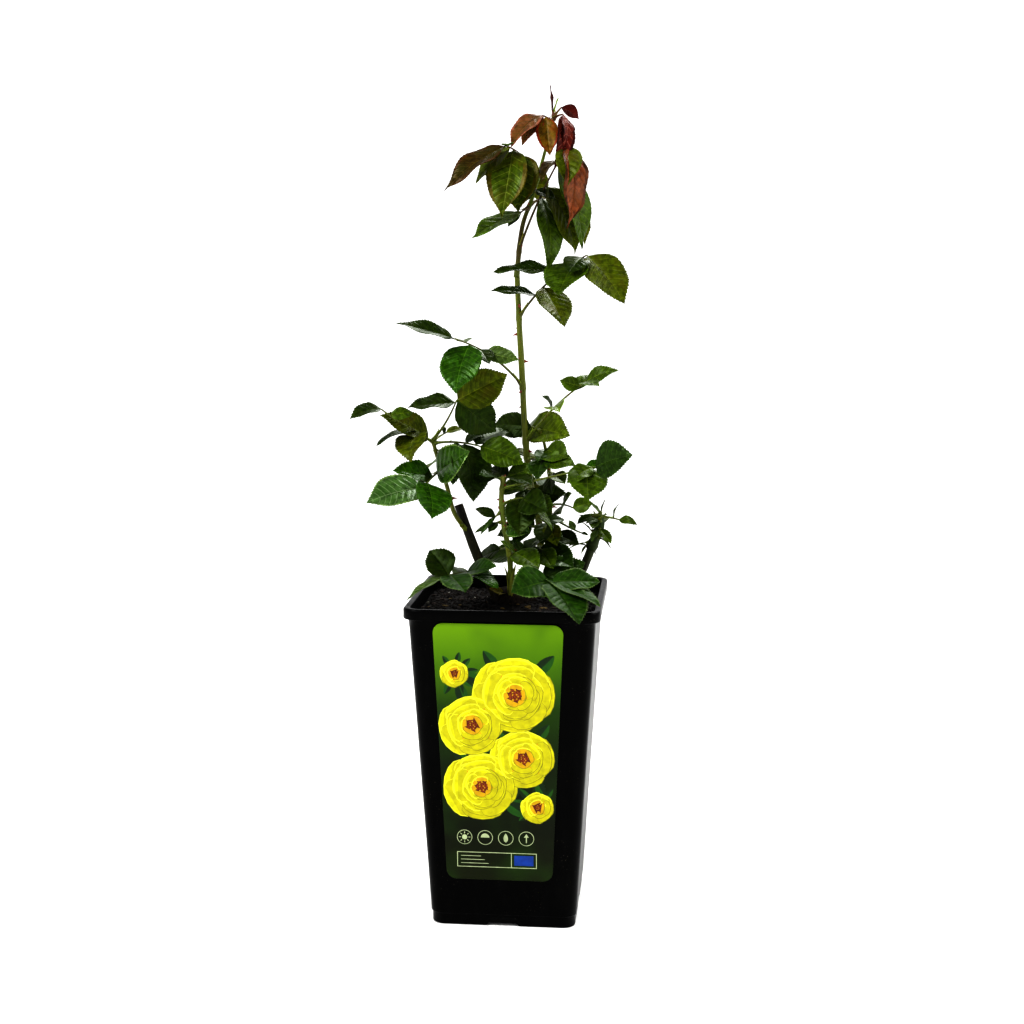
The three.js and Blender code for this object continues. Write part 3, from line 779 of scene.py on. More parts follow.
CROWN_LEAVES = (
    grow(0.86, -125, 60, 60, 14, (1, 40, -134, -39, -20, 0.44, Tone.SALMON),
        (0.9, 29, -150, -52, -40, 0.45, Tone.SALMON), curl=Curl.YOUNG),
    grow(0.88, -105, 35, 40, 15, (1, 31, -68, -70, 15, 0.54, Tone.RUST),
        (0.9, 27, -50, -75, 10, 0.45, Tone.RUST)),
    grow(0.94, -45, 35, 40, 12, (1, 32, -90, -60, -50, 0.4, Tone.MAROON),
        (1, 46, -110, -68, -60, 0.36, Tone.MAROON), curl=Curl.ROLLED),
    grow(0.96, 35, 60, 20, 11, (1, 16, 0, -34, -55, 0.66, Tone.WINE), curl=Curl.HOOKED),
    grow(0.98, 190, 80, 10, 5, (1, 19, 150, 84, 0, 0.17, Tone.WINE),
        (0.4, 13, 20, 72, 0, 0.2, Tone.YELLOW), curl=Curl.FLAT),
    grow(0.51, -125, 50, 40, 44, (1, 59, -155, -35, -30, 0.35, Tone.BRONZE),
        (0.9, 37, -176, -46, -40, 0.6, Tone.OLIVE), (0.8, 58, -104, -63, 0, 0.54, Tone.CROWN_OLIVE),
        (0.62, 48, -88, -68, 5, 0.68, Tone.CROWN_OLIVE), (0.97, 15, -80, 2, 5, 0.6, Tone.GREY)),
    grow(0.1, -30, 67, 14, 90, (1, 66, -88, -72, -46, 0.38, Tone.TERRACOTTA),
        (0.98, 40, -86, -52, -5, 0.5, Tone.OLIVE), (0.5, 58, -62, -76, -20, 0.46, Tone.GRASS),
        (0.6, 57, 25, -65, 70, 0.48, Tone.OLIVE), (0.82, 68, 30, -72, 65, 0.42, Tone.GRASS),
        (0.85, 31, -118, -36, 10, 0.44, Tone.BRONZE), curl=Curl.ARCHED),
    grow(0.33, -120, -10, 20, 11, (1, 47, -145, -25, -15, 0.5, Tone.GRASS),
        (0.9, 16, 165, -45, -70, 0.5, Tone.DEEP)),
    grow(0.53, 115, 30, 40, 37, (1, 42, 130, -50, 10, 0.5, Tone.CROWN_OLIVE),
        (0.8, 38, 60, -55, -20, 0.5, Tone.OLIVE), (0.8, 38, 180, -45, 20, 0.5, Tone.OLIVE),
        curl=Curl.YOUNG),
    grow(0.35, 44, 30, 40, 35, (1, 44, 50, -55, 0, 0.5, Tone.OLIVE),
        (0.8, 38, 115, -50, 20, 0.5, Tone.CROWN_OLIVE), (0.8, 36, 20, -45, -20, 0.5, Tone.OLIVE),
        curl=Curl.YOUNG),
)

LEFT_TIP_LEAVES = (
    grow(1, -40, 40, -20, 43, (1, 44, 10, 27, 85, 0.66, Tone.OLIVE),
        (1, 41, 25, -38, 95, 0.72, Tone.DEEP), (0.95, 37, -165, -5, -30, 0.5, Tone.DEEP)),
    grow(0.94, -135, 25, -10, 57, (1, 27, -146, -14, -30, 0.5, Tone.DEEP),
        (0.82, 18, 20, 6, 65, 0.55, Tone.GRASS), (0.08, 46, -149, 27, -60, 0.46, Tone.OLIVE),
        (0.3, 37, -90, -30, 15, 0.7, Tone.OLIVE), (0.3, 40, -134, -10, 5, 0.36, Tone.DEEP),
        curl=Curl.YOUNG),
    grow(0.01, -105, -5, 20, 37, (1, 49, -145, -10, -40, 0.6, Tone.SHEEN),
        (0.8, 36, 140, 15, -15, 0.56, Tone.DEEP), (0.8, 37, -75, -40, -25, 0.84, Tone.BRIGHT),
        (0.3, 40, -34, 30, 72, 0.74, Tone.STREAKED), (0.5, 32, -160, 10, -50, 0.6, Tone.BRIGHT)),
    grow(0.9, -5, 10, 25, 37, (1, 38, -10, -20, 60, 0.62, Tone.GRASS),
        (0.7, 22, 45, 20, 10, 0.5, Tone.DEEP), (0.9, 46, 60, 10, 15, 0.5, Tone.DEEP),
        (0.66, 48, -62, -66, -15, 0.76, Tone.DEEP), (0.5, 34, -100, -72, 10, 0.7, Tone.BLUISH)),
    grow(0.97, 65, 20, 10, 20, (1, 15, 35, 10, 30, 0.5, Tone.OLIVE),
        (0.9, 10, -105, 35, -100, 0.5, Tone.DEEP)),
    grow(0.67, 85, -5, 20, 50, (1, 38, 65, -20, 30, 0.6, Tone.DEEP),
        (0.8, 36, 130, -25, -30, 0.6, Tone.GRASS), (0.8, 32, 10, -15, 40, 0.6, Tone.BLUISH)),
)

RIGHT_TIP_LEAVES = (
    grow(1, 120, 20, 30, 19, (1, 44, -40, -5, 50, 0.68, Tone.LIME),
        (0.9, 35, 155, 0, -80, 0.58, Tone.DEEP), (0.8, 54, 105, -15, -30, 0.6, Tone.GRASS)),
    grow(0.15, -85, 20, 10, 14, (1, 26, -45, -10, 45, 0.8, Tone.GRASS),
        (0.8, 21, -105, -20, -5, 0.6, Tone.BLUISH)),
)

BUD_TIP_LEAVES = (
    grow(0.95, -10, 5, 20, 16, (1, 16, -25, -10, 50, 0.45, Tone.GRASS),
        (0.7, 12, 10, 70, 0, 0.2, Tone.DEEP), curl=Curl.YOUNG),
    grow(1, 200, 20, 60, 8, (0.8, 13, 190, -25, -30, 0.6, Tone.DEEP), curl=Curl.YOUNG),
    grow(0.1, 195, 15, 30, 7, (1, 14, 190, -20, 0, 0.2, Tone.GREY),
        (0.6, 12, 20, -60, 0, 0.3, Tone.DEEP)),
    grow(0.4, 190, 30, 10, 6, (1, 10, 175, 40, 0, 0.3, Tone.DEEP),
        (0.6, 14, -15, 0, 0, 0.2, Tone.GREY)),
    grow(0.45, 80, 30, 10, 8, (1, 20, 80, 10, 0, 0.5, Tone.GRASS),
        (0.8, 14, 130, 30, 0, 0.5, Tone.DEEP), curl=Curl.YOUNG),
)

CANE_LEAVES = {
    "upper_right_leaf": ("main_cane", grow(0.88, -20, 55, 30, 75,
        (1, 51, -35, -45, 30, 0.62, Tone.OLIVE), (0.95, 28, -110, -25, -15, 0.7, Tone.DEEP),
        (0.84, 38, -110, -40, 0, 0.92, Tone.GRASS), (0.66, 52, -165, 0, -30, 0.3, Tone.DEEP),
        (0.42, 40, -48, -48, 5, 0.72, Tone.OLIVE), (0.3, 37, -155, 5, -32, 0.3, Tone.DEEP))),
    "middle_left_leaf": ("main_cane", grow(0.69, -145, 50, 35, 73,
        (1, 45, -170, 15, -34, 0.36, Tone.DEEP), (0.8, 45, -106, -53, -5, 0.72, Tone.BRIGHT),
        (0.85, 25, 105, 0, -5, 0.5, Tone.GRASS), (0.66, 20, -60, -30, 10, 0.7, Tone.DEEP),
        (0.6, 28, -10, -12, 58, 0.5, Tone.GREY))),
    "middle_right_leaf": ("main_cane", grow(0.55, -35, 50, 20, 78,
        (1, 28, -15, 20, 50, 0.52, Tone.GRASS), (0.95, 25, -55, 0, 15, 0.5, Tone.GREY),
        (0.92, 16, -175, 15, -80, 0.7, Tone.GRASS), (0.8, 28, 35, 25, 10, 0.6, Tone.GRASS),
        (0.5, 28, -75, 0, 20, 0.6, Tone.YELLOW), (0.48, 17, -125, 45, -60, 0.5, Tone.DEEP),
        curl=Curl.YOUNG)),
    "middle_back_leaf": ("main_cane", grow(0.51, 115, 10, 30, 48,
        (1, 40, 110, -15, -20, 0.6, Tone.GRASS), (0.75, 38, 60, -20, 20, 0.6, Tone.DEEP),
        (0.75, 34, 165, -10, -30, 0.6, Tone.GRASS), (0.45, 28, 50, -20, 20, 0.6, Tone.OLIVE),
        (0.45, 28, 175, -15, -30, 0.6, Tone.DEEP))),
    "right_upper_leaf": ("right_shoot", grow(0.8, -75, 5, 10, 14,
        (1, 20, -55, -15, 20, 0.7, Tone.GRASS), (0.8, 24, -85, -35, 50, 0.6, Tone.DEEP))),
    "right_small_leaf": ("right_shoot", grow(0.53, -60, 15, 20, 41,
        (1, 16, 0, 15, 75, 0.75, Tone.GRASS), (0.6, 15, -50, 45, 60, 0.8, Tone.GRASS),
        (0.6, 30, -90, -5, 50, 0.6, Tone.DEEP))),
    "right_thin_leaf": ("right_shoot", grow(0.46, -35, -24, -12, 34,
        (0.8, 9, 175, 60, -65, 0.6, Tone.GREY), (1, 7, -35, -10, 35, 0.4, Tone.DEEP))),
    "right_back_leaf": ("right_shoot", grow(0.58, 110, 20, 30, 54,
        (1, 38, 115, -15, -20, 0.6, Tone.GRASS), (0.75, 38, 60, -15, 20, 0.6, Tone.BLUISH),
        (0.75, 34, 160, -5, -30, 0.6, Tone.GRASS), (0.45, 30, 45, -20, 30, 0.6, Tone.DEEP),
        (0.45, 28, 170, -30, -30, 0.6, Tone.OLIVE))),
    "right_low_leaf": ("right_shoot", grow(0.22, -85, 20, 15, 28,
        (1, 37, -45, -10, 30, 0.68, Tone.BLUISH), (0.9, 22, -30, 15, 65, 0.72, Tone.DEEP),
        (0.7, 38, -95, -10, 25, 0.5, Tone.BLUISH))),
    "low_back_leaf": ("right_shoot", grow(0.2, 115, 5, 20, 41, (1, 38, 115, -15, -20, 0.6, Tone.BLUISH),
        (0.7, 36, 60, -15, 20, 0.6, Tone.GRASS), (0.7, 38, 165, -12, -30, 0.72, Tone.DEEP))),
    "front_right_leaf": ("front_cane", grow(0.86, -20, 15, 0, 81,
        (1, 33, -25, 19, 65, 0.88, Tone.BLUISH), (0.93, 32, -88, -42, -10, 0.92, Tone.GRASS),
        (0.9, 15, 30, 20, 50, 0.5, Tone.BRIGHT), (0.97, 26, -140, -24, -30, 0.6, Tone.GRASS))),
    "front_top_leaf": ("front_cane", grow(0.95, 65, 20, 10, 8, (1, 24, 135, 10, -35, 0.6, Tone.DEEP),
        (0.9, 24, -5, 20, 60, 0.65, Tone.GRASS), (0.9, 33, -50, -5, 10, 0.5, Tone.DEEP))),
    "front_middle_leaf": ("front_cane", grow(0.69, -30, 35, 30, 22,
        (1, 32, -48, -12, 50, 0.72, Tone.DEEP), (0.9, 34, -88, -50, 0, 0.7, Tone.DEEP),
        (1, 38, -40, -35, -10, 0.3, Tone.GRASS))),
    "centre_leaf": ("main_cane", grow(0.385, -85, 15, 20, 14, (1, 30, -55, -20, 40, 0.66, Tone.GRASS),
        (0.8, 26, 0, 10, 60, 0.66, Tone.DEEP))),
    "centre_low_leaf": ("main_cane", grow(0.24, -75, 15, 20, 14, (1, 28, -110, -15, 10, 0.7, Tone.DEEP),
        (0.8, 24, -45, 5, 50, 0.66, Tone.BLUISH))),
    "front_striped_leaf": ("front_cane", grow(0.49, -65, 30, 10, 10,
        (1, 26, -45, -5, 50, 0.7, Tone.STREAKED))),
    "front_left_leaf": ("front_cane", grow(0.64, -155, -30, 10, 7,
        (1, 17, 175, 20, -45, 0.5, Tone.DEEP), (1, 19, -145, -45, -40, 0.2, Tone.BLUISH),
        curl=Curl.YOUNG)),
    "foot_front_leaf": ("front_cane", grow(0.25, -60, 40, 20, 12,
        (1, 30, -45, -15, 25, 0.7, Tone.GRASS), (0.9, 17, -145, 40, -45, 0.5, Tone.GRASS))),
    "foot_back_leaf": ("front_cane", grow(0.32, 115, -5, 10, 20,
        (1, 30, 140, -25, -55, 0.5, Tone.DEEP))),
    "rim_right_leaf": ("main_cane", grow(0.05, -68.5, 26, 30, 62,
        (1, 50, -58, -28, -5, 0.7, Tone.FRESH), (0.95, 38, 5, 0, 30, 0.6, Tone.FRESH),
        (0.92, 34, -145, -9, -42, 0.9, Tone.FRESH), (0.6, 68, -45, -10, -5, 0.36, Tone.FRESH),
        (0.6, 36, 15, 18, 50, 0.64, Tone.BLUISH))),
    "rim_left_leaf": ("left_stub", grow(0.2, -125, 25, 30, 46, (1, 27, 145, 40, -40, 0.88, Tone.DEEP),
        (0.97, 32, -60, -15, 5, 0.78, Tone.FRESH), (0.97, 40, -150, -25, 0, 0.4, Tone.GREY),
        (0.55, 35, -40, 15, 40, 0.5, Tone.FRESH), (0.55, 40, -45, -10, 5, 0.46, Tone.BRIGHT),
        (0.9, 33, 70, -10, 20, 0.4, Tone.GREY))),
}

# Smaller leaves that fill out the bush and the sprouting tip of the right stub.
FILLING = (
    ("crown", "crown", grow(0.44, -75, 10, 20, 7, (1, 20, -30, -22, 35, 0.5, Tone.DEEP),
        (0.8, 17, -130, -40, 0, 0.5, Tone.GRASS))),
    ("front", "main_cane", grow(0.5, -55, 20, 30, 26, (1, 28, -25, -5, 45, 0.62, Tone.GRASS),
        (0.85, 24, -95, -35, 5, 0.7, Tone.BLUISH), (0.8, 22, 15, 10, 45, 0.6, Tone.DEEP))),
    ("front", "main_cane", grow(0.42, -100, 10, 20, 20, (1, 25, -75, -40, 10, 0.66, Tone.DEEP),
        (0.8, 22, -150, -10, -20, 0.6, Tone.GRASS))),
    ("front", "main_cane", grow(0.31, -60, 5, 20, 18, (1, 22, -60, -42, 25, 0.66, Tone.OLIVE),
        (0.85, 24, -95, -35, 5, 0.66, Tone.DEEP), (0.6, 18, 30, 0, 40, 0.6, Tone.DEEP))),
    ("front", "main_cane", grow(0.28, 165, 5, 20, 9, (1, 27, 176, -16, -35, 0.7, Tone.DEEP),
        (0.8, 22, -140, -38, -10, 0.66, Tone.BLUISH), (0.5, 22, 140, 5, -30, 0.6, Tone.DEEP))),
    ("front", "main_cane", grow(0.18, -85, 20, 30, 24, (1, 26, -60, -25, 25, 0.68, Tone.GRASS),
        (0.8, 26, -130, -15, -20, 0.62, Tone.DEEP), (0.8, 24, -10, -5, 40, 0.62, Tone.BLUISH))),
    ("front", "front_cane", grow(0.96, 150, 15, 20, 8, (1, 24, 170, 0, -40, 0.66, Tone.DEEP),
        (0.7, 22, -125, 12, -20, 0.66, Tone.BLUISH))),
    ("front", "front_cane", grow(0.55, -150, 10, 20, 8, (1, 17, -165, -26, -30, 0.3, Tone.DEEP),
        (0.7, 13, -120, -30, -20, 0.5, Tone.DEEP))),
    ("front", "right_shoot", grow(0.36, -60, 5, 10, 14, (1, 22, -30, -15, 40, 0.66, Tone.DEEP),
        (0.8, 20, -100, -35, 0, 0.66, Tone.OLIVE))),
    ("rim", "front_cane", grow(0.03, 175, 10, 20, 5, (1, 13, 172, 22, -30, 0.55, Tone.STRAW),
        (0.8, 9, -120, 5, 0, 0.5, Tone.STRAW), curl=Curl.YOUNG)),
    ("bud_spray", "bud_tip", grow(0.05, 195, 5, 30, 5, (1, 17, 190, -5, 0, 0.15, Tone.DEEP),
        (0.7, 11, 230, -40, 0, 0.2, Tone.OLIVE), curl=Curl.YOUNG)),
    ("bud_spray", "bud_tip", grow(0.3, -60, 10, 30, 5, (1, 13, -30, -35, 0, 0.2, Tone.DEEP),
        (0.8, 12, -80, 20, 0, 0.35, Tone.GRASS), curl=Curl.YOUNG)),
    ("bud_spray", "bud_tip", grow(0.6, 160, 40, 20, 5, (1, 14, 185, 25, -30, 0.45, Tone.DEEP),
        (0.8, 11, 120, 60, 0, 0.2, Tone.OLIVE), curl=Curl.YOUNG)),
    ("bud_spray", "bud_tip", grow(0.75, -95, 35, 30, 6, (1, 14, -140, -5, -20, 0.5, Tone.DEEP),
        (0.8, 13, -60, 30, 20, 0.45, Tone.GRASS), curl=Curl.YOUNG)),
    ("bud_spray", "bud_tip", grow(0.99, 60, 70, 20, 4, (1, 10, 20, 70, 0, 0.22, Tone.DEEP),
        (0.7, 12, 200, 45, -30, 0.5, Tone.GREY), curl=Curl.FLAT)),
    ("bud_spray", "bud_tip", grow(0.85, -120, 20, 30, 5, (1, 15, -100, -20, 0, 0.6, Tone.GRASS),
        (0.6, 13, 175, 5, -50, 0.6, Tone.GREY))),
    ("bud_spray", "bud_tip", grow(0.5, -80, 30, 30, 5, (1, 16, -40, -40, 20, 0.55, Tone.GRASS),
        (0.6, 15, -120, -35, 0, 0.5, Tone.GREY))),
)

MASS_LEAVES = {
    "crown": CROWN_LEAVES,
    "left_tip": LEFT_TIP_LEAVES,
    "right_tip": RIGHT_TIP_LEAVES,
    "bud_tip": BUD_TIP_LEAVES,
}


# ---- leaves


@dataclass(frozen=True)
class BladeRule:
    """How a leaflet's blade is shaped: folded, arched, quilted between its veins and toothed."""

    swell: float = 0.55
    taper: float = 0.85
    drip: float = 0.45
    foot: float = 0.035
    fold: float = 12
    sweep: float = 0.4
    vein_gap: float = 5.0
    thickness: float = 0.3
    rib: float = 0.42
    quilt: float = 0.012
    tooth_depth: float = 0.75
    edge_bands: int = 1
    rows: tuple[float, ...] = (0, 0.07, 0.14, 0.32, 0.5, 0.56, 0.78)
    teeth: tuple[float, ...] = (1, 1, 0, 0.5, 1, 0, 0.5)
    columns: tuple[float, ...] = (1, 0.93, 0.76, 0.57, 0.37, 0.17, 0)

    def outline(self, s: np.ndarray) -> np.ndarray:
        """Works out how wide a blade is along its length.

        Args:
            s: Places along it, as shares of its length.

        Returns:
            The widths there, as shares of the greatest.
        """
        t = np.clip((s - self.foot) / (1 - self.foot), 0, 1)
        peak = self.swell / (self.swell + self.taper)
        greatest = peak ** self.swell * (1 - peak) ** self.taper
        tip = 1 - self.drip * np.clip((t - 0.7) / 0.25, 0, 1) ** 1.5
        return tip * t ** self.swell * (1 - t) ** self.taper / greatest

    def build(self, leaflet: Leaflet, base: np.ndarray, curl: float,
              rng: np.random.Generator) -> tuple[np.ndarray, np.ndarray, list[int]]:
        """Makes one blade.

        Args:
            leaflet: Its size and angles.
            base: Where it springs from the stalk.
            curl: How far it bends down from base to tip, in degrees.
            rng: The source of its small differences from its neighbours.

        Returns:
            Its points, its quads, and which of its tone's five materials each quad takes.
        """
        length = leaflet.length
        veins = int(np.clip(round(length / self.vein_gap), 4, 9))
        steps = np.arange(veins)[:, None]
        v = np.append(((steps + np.array(self.rows)) / veins).ravel(), 1.0)[:, None]
        tooth = np.append(np.tile(self.teeth, veins), 0.0)[:, None]
        between = np.clip((np.array(self.rows) - self.rows[1]) / (1 - self.rows[1]), 0, 1)
        puff = np.sin(math.pi * np.append(np.tile(between, veins), 0.0))[:, None]
        vein_row = np.append(np.tile(np.array(self.rows) < self.rows[2], veins), False)[:, None]
        share = np.array([*self.columns, 0.0, *reversed(self.columns)])[None, :]
        sign = np.array([-1.0] * len(self.columns) + [0.0] + [1.0] * len(self.columns))[None, :]

        own = math.radians(7 * length + leaflet.heading)
        v = v + 0.02 * np.sin(9 * v + own) * v * (1 - v) * 4
        s = v + self.sweep * share ** 1.15 * (1 - v) * 1.12 * v / (v + 0.12)
        margin = share == 1
        fade = np.clip(s / 0.16, 0, 1) * np.clip((1 - s) / 0.08, 0, 1)
        depth = self.tooth_depth * min(1.0, length / 36)
        half = length * leaflet.breadth / 2
        width = np.maximum(half * self.outline(s), lerp(0.42, 0.1, s))
        rib = np.minimum(self.rib * (1 - 0.75 * s), 0.55 * width)
        x = sign * (rib + (width - rib) * share + margin * depth * tooth * fade)
        s = s + margin * 0.6 * depth / length * tooth * fade

        fold = math.tan(math.radians(self.fold * rng.uniform(0.6, 1.5)))
        wave = length * rng.uniform(0.012, 0.03)
        phase = rng.uniform(0, 2 * math.pi, 2)
        turns = rng.uniform(1.3, 2.2)
        ripple = np.where(sign < 0, np.sin(2 * math.pi * turns * s + phase[0]),
                          np.sin(2 * math.pi * turns * s + phase[1]))
        quilt = self.quilt * length * puff * np.sin(math.pi * share ** 0.8) * (sign != 0)
        quilt = quilt * (0.62 + 0.5 * np.sin(8 * s + 2.4 * sign * share + 3 * own))
        z = np.abs(x) * fold + wave * share ** 2 * ripple * fade + quilt
        twist = math.radians(rng.uniform(-14, 14)) * (s - 0.3)
        lean = rng.uniform(-0.03, 0.03) * length * 4 * s * (1 - s)
        bow = length * math.tan(math.radians(curl) / 4) / 2 * 4 * s * (1 - s)

        centre = (sign == 0) * (1 - 0.7 * s)
        beside = ((share == 0) & (sign != 0)) * (1 - 0.7 * s)
        thin = self.thickness * np.where(margin, 0.35, 1.0) / 2
        ridge = vein_row * 0.11 * (share < 0.9) * (share > 0)
        levels = (z + thin - 0.22 * centre - 0.05 * ridge,
                  z - thin - 0.55 * centre - 0.3 * beside - ridge)

        chord = heading_vector(leaflet.heading, leaflet.rise)
        normal = turned(unit(UP - chord * UP.dot(chord)), chord, leaflet.roll)
        side = np.cross(chord, normal)
        sheets = []
        for level in levels:
            across = x * np.cos(twist) - level * np.sin(twist) + lean
            above = x * np.sin(twist) + level * np.cos(twist) + bow
            along = s * length
            sheets.append(base + along[..., None] * chord + across[..., None] * side
                          + above[..., None] * normal)
        return self._closed(np.array(sheets), vein_row[:, 0])

    def _closed(self, sheets: np.ndarray,
                vein_row: np.ndarray) -> tuple[np.ndarray, np.ndarray, list[int]]:
        """Joins a blade's two sheets round their edge.

        Args:
            sheets: The top's and the underside's points, as rows and columns.
            vein_row: Whether a vein lies on each row.

        Returns:
            The points, the quads, and the material number of each quad.
        """
        points, top, bottom, rim = shell(sheets)
        columns = sheets.shape[2]
        i, j = np.divmod(np.arange(len(top)), columns - 1)
        middle = (columns - 1) // 2
        from_rib = np.where(j < middle, middle - 1 - j, j - middle)
        on_vein = vein_row[i] & vein_row[i + 1]
        outer = from_rib >= len(self.columns) - self.edge_bands
        kind = np.where(outer, 2, np.where(on_vein | (from_rib == 0), 1, 0))
        under = np.where(outer | (kind == 0), 3, 4)
        return points, np.vstack([top, bottom, rim]), [*kind, *under, *([2] * len(rim))]


@dataclass
class Foliage:
    """The leaves of one part of the bush, whose blades and stalks are two pieces."""

    name: str
    slot: str
    shoots: tuple[str, ...] = ()
    single: tuple[str, ...] = ()
    seed: int = 0
    stalk_radii: Pair = (1.05, 0.55)
    stipule_reach: float = 11
    stipule_width: float = 1.5
    blade: BladeRule = field(default_factory=BladeRule)

    def leaves(self) -> list[tuple[Limb, Leaf]]:
        """Lists each leaf with the limb that it springs from."""
        grown = [(SHOOTS[name], leaf) for name in self.shoots for leaf in MASS_LEAVES[name]]
        alone = [(CANES[CANE_LEAVES[name][0]], CANE_LEAVES[name][1]) for name in self.single]
        limbs = {**CANES, **SHOOTS}
        added = [(limbs[name], leaf) for part, name, leaf in FILLING if part == self.name]
        return grown + alone + added

    def build(self, stalk: Material, stipule: Material) -> None:
        """Makes the two pieces.

        Args:
            stalk: The material of the stalks.
            stipule: The material of the wings at their feet.
        """
        rng = np.random.default_rng(self.seed)
        blades, stalks = Patchwork(), Patchwork()
        for limb, leaf in self.leaves():
            path = leaf.stalk_path(limb.centre(leaf.at))
            self._add_stalk(stalks, path, leaf, limb.radius(leaf.at), stalk)
            self._add_stipules(stalks, path, leaf, limb.radius(leaf.at), stipule)
            for leaflet in leaf.leaflets:
                place = leaflet.place * (len(path) - 1)
                start = min(int(place), len(path) - 2)
                base = lerp(path[start], path[start + 1], place - start)
                points, quads, looks = self.blade.build(leaflet, base, leaf.curl.value, rng)
                blades.add(points, quads, leaflet.tone.materials(), looks)
        replaced = (*self.shoots, *self.single)
        blades.write(f"{self.name}_blades", self.slot, replaced)
        stalks.write(f"{self.name}_stalks", self.slot, replaced)

    def _add_stalk(self, stalks: Patchwork, path: np.ndarray, leaf: Leaf, cane: float,
                   material: Material) -> None:
        """Adds a stalk that swells where it clasps the cane.

        Args:
            stalks: The piece that it belongs to.
            path: The points of its centre line.
            leaf: Its leaf.
            cane: The cane's radius.
            material: Its material.
        """
        along = np.linspace(0, leaf.reach, len(path))
        radii = lerp(*self.stalk_radii, along / leaf.reach)
        radii = radii + 0.9 * np.exp(-(np.maximum(along - cane, 0) / 2.2) ** 2)
        stalks.add(*tube(path, radii, 8), [material])

    def _add_stipules(self, stalks: Patchwork, path: np.ndarray, leaf: Leaf, cane: float,
                      material: Material) -> None:
        """Adds the two narrow wings along a stalk's foot, with their free pointed tips.

        Args:
            stalks: The piece that they belong to.
            path: The points of the stalk's centre line.
            leaf: Its leaf.
            cane: The cane's radius.
            material: Their material.
        """
        reach = min(self.stipule_reach, 0.4 * leaf.reach)
        if reach < 4:
            return
        count = 9
        steps = np.linspace(cane * 0.8, cane * 0.8 + reach, count)
        place = steps / leaf.reach * (len(path) - 1)
        line = np.array([np.interp(place, np.arange(len(path)), path[:, k]) for k in range(3)]).T
        tangents, _, _ = carried_frames(line)
        level = np.cross(tangents, UP)
        level /= np.linalg.norm(level, axis=1)[:, None] + 1e-9
        raised = np.cross(level, tangents)
        widths = self.stipule_width * np.array([0.3, 0.75, 1, 1, 0.95, 0.95, 1.05, 1.2, 0.9])
        for sign in (-1, 1):
            inner = line + level * sign * 0.5
            outer = line + level * sign * (0.5 + widths)[:, None] + raised * 0.5
            tip = outer[-1] + tangents[-1] * 2.6 + level[-1] * sign * 1.8 + raised[-1] * 0.8
            crown = np.vstack([inner, outer, tip])
            points = np.vstack([crown + raised[0] * 0.13, crown - raised[0] * 0.13])
            stalks.add(points, self._wing_faces(count, sign), [material])

    @staticmethod
    def _wing_faces(count: int, sign: int) -> list[list[int]]:
        """Lists the faces of a closed thin wing with a tip.

        Args:
            count: The number of points along it.
            sign: Which side of the stalk it's on.

        Returns:
            The faces, turned outwards.
        """
        tip, below = 2 * count, 2 * count + 1
        top = [[i, i + 1, count + i + 1, count + i] for i in range(count - 1)]
        top.append([count - 1, tip, 2 * count - 1])
        ring = [*range(count), tip, *range(2 * count - 1, count - 1, -1)]
        sides = [[ring[k], ring[k - 1], ring[k - 1] + below, ring[k] + below]
                 for k in range(len(ring))]
        faces = top + [[k + below for k in face[::-1]] for face in top] + sides
        return faces if sign < 0 else [face[::-1] for face in faces]


# ---- canes, prickles and buds


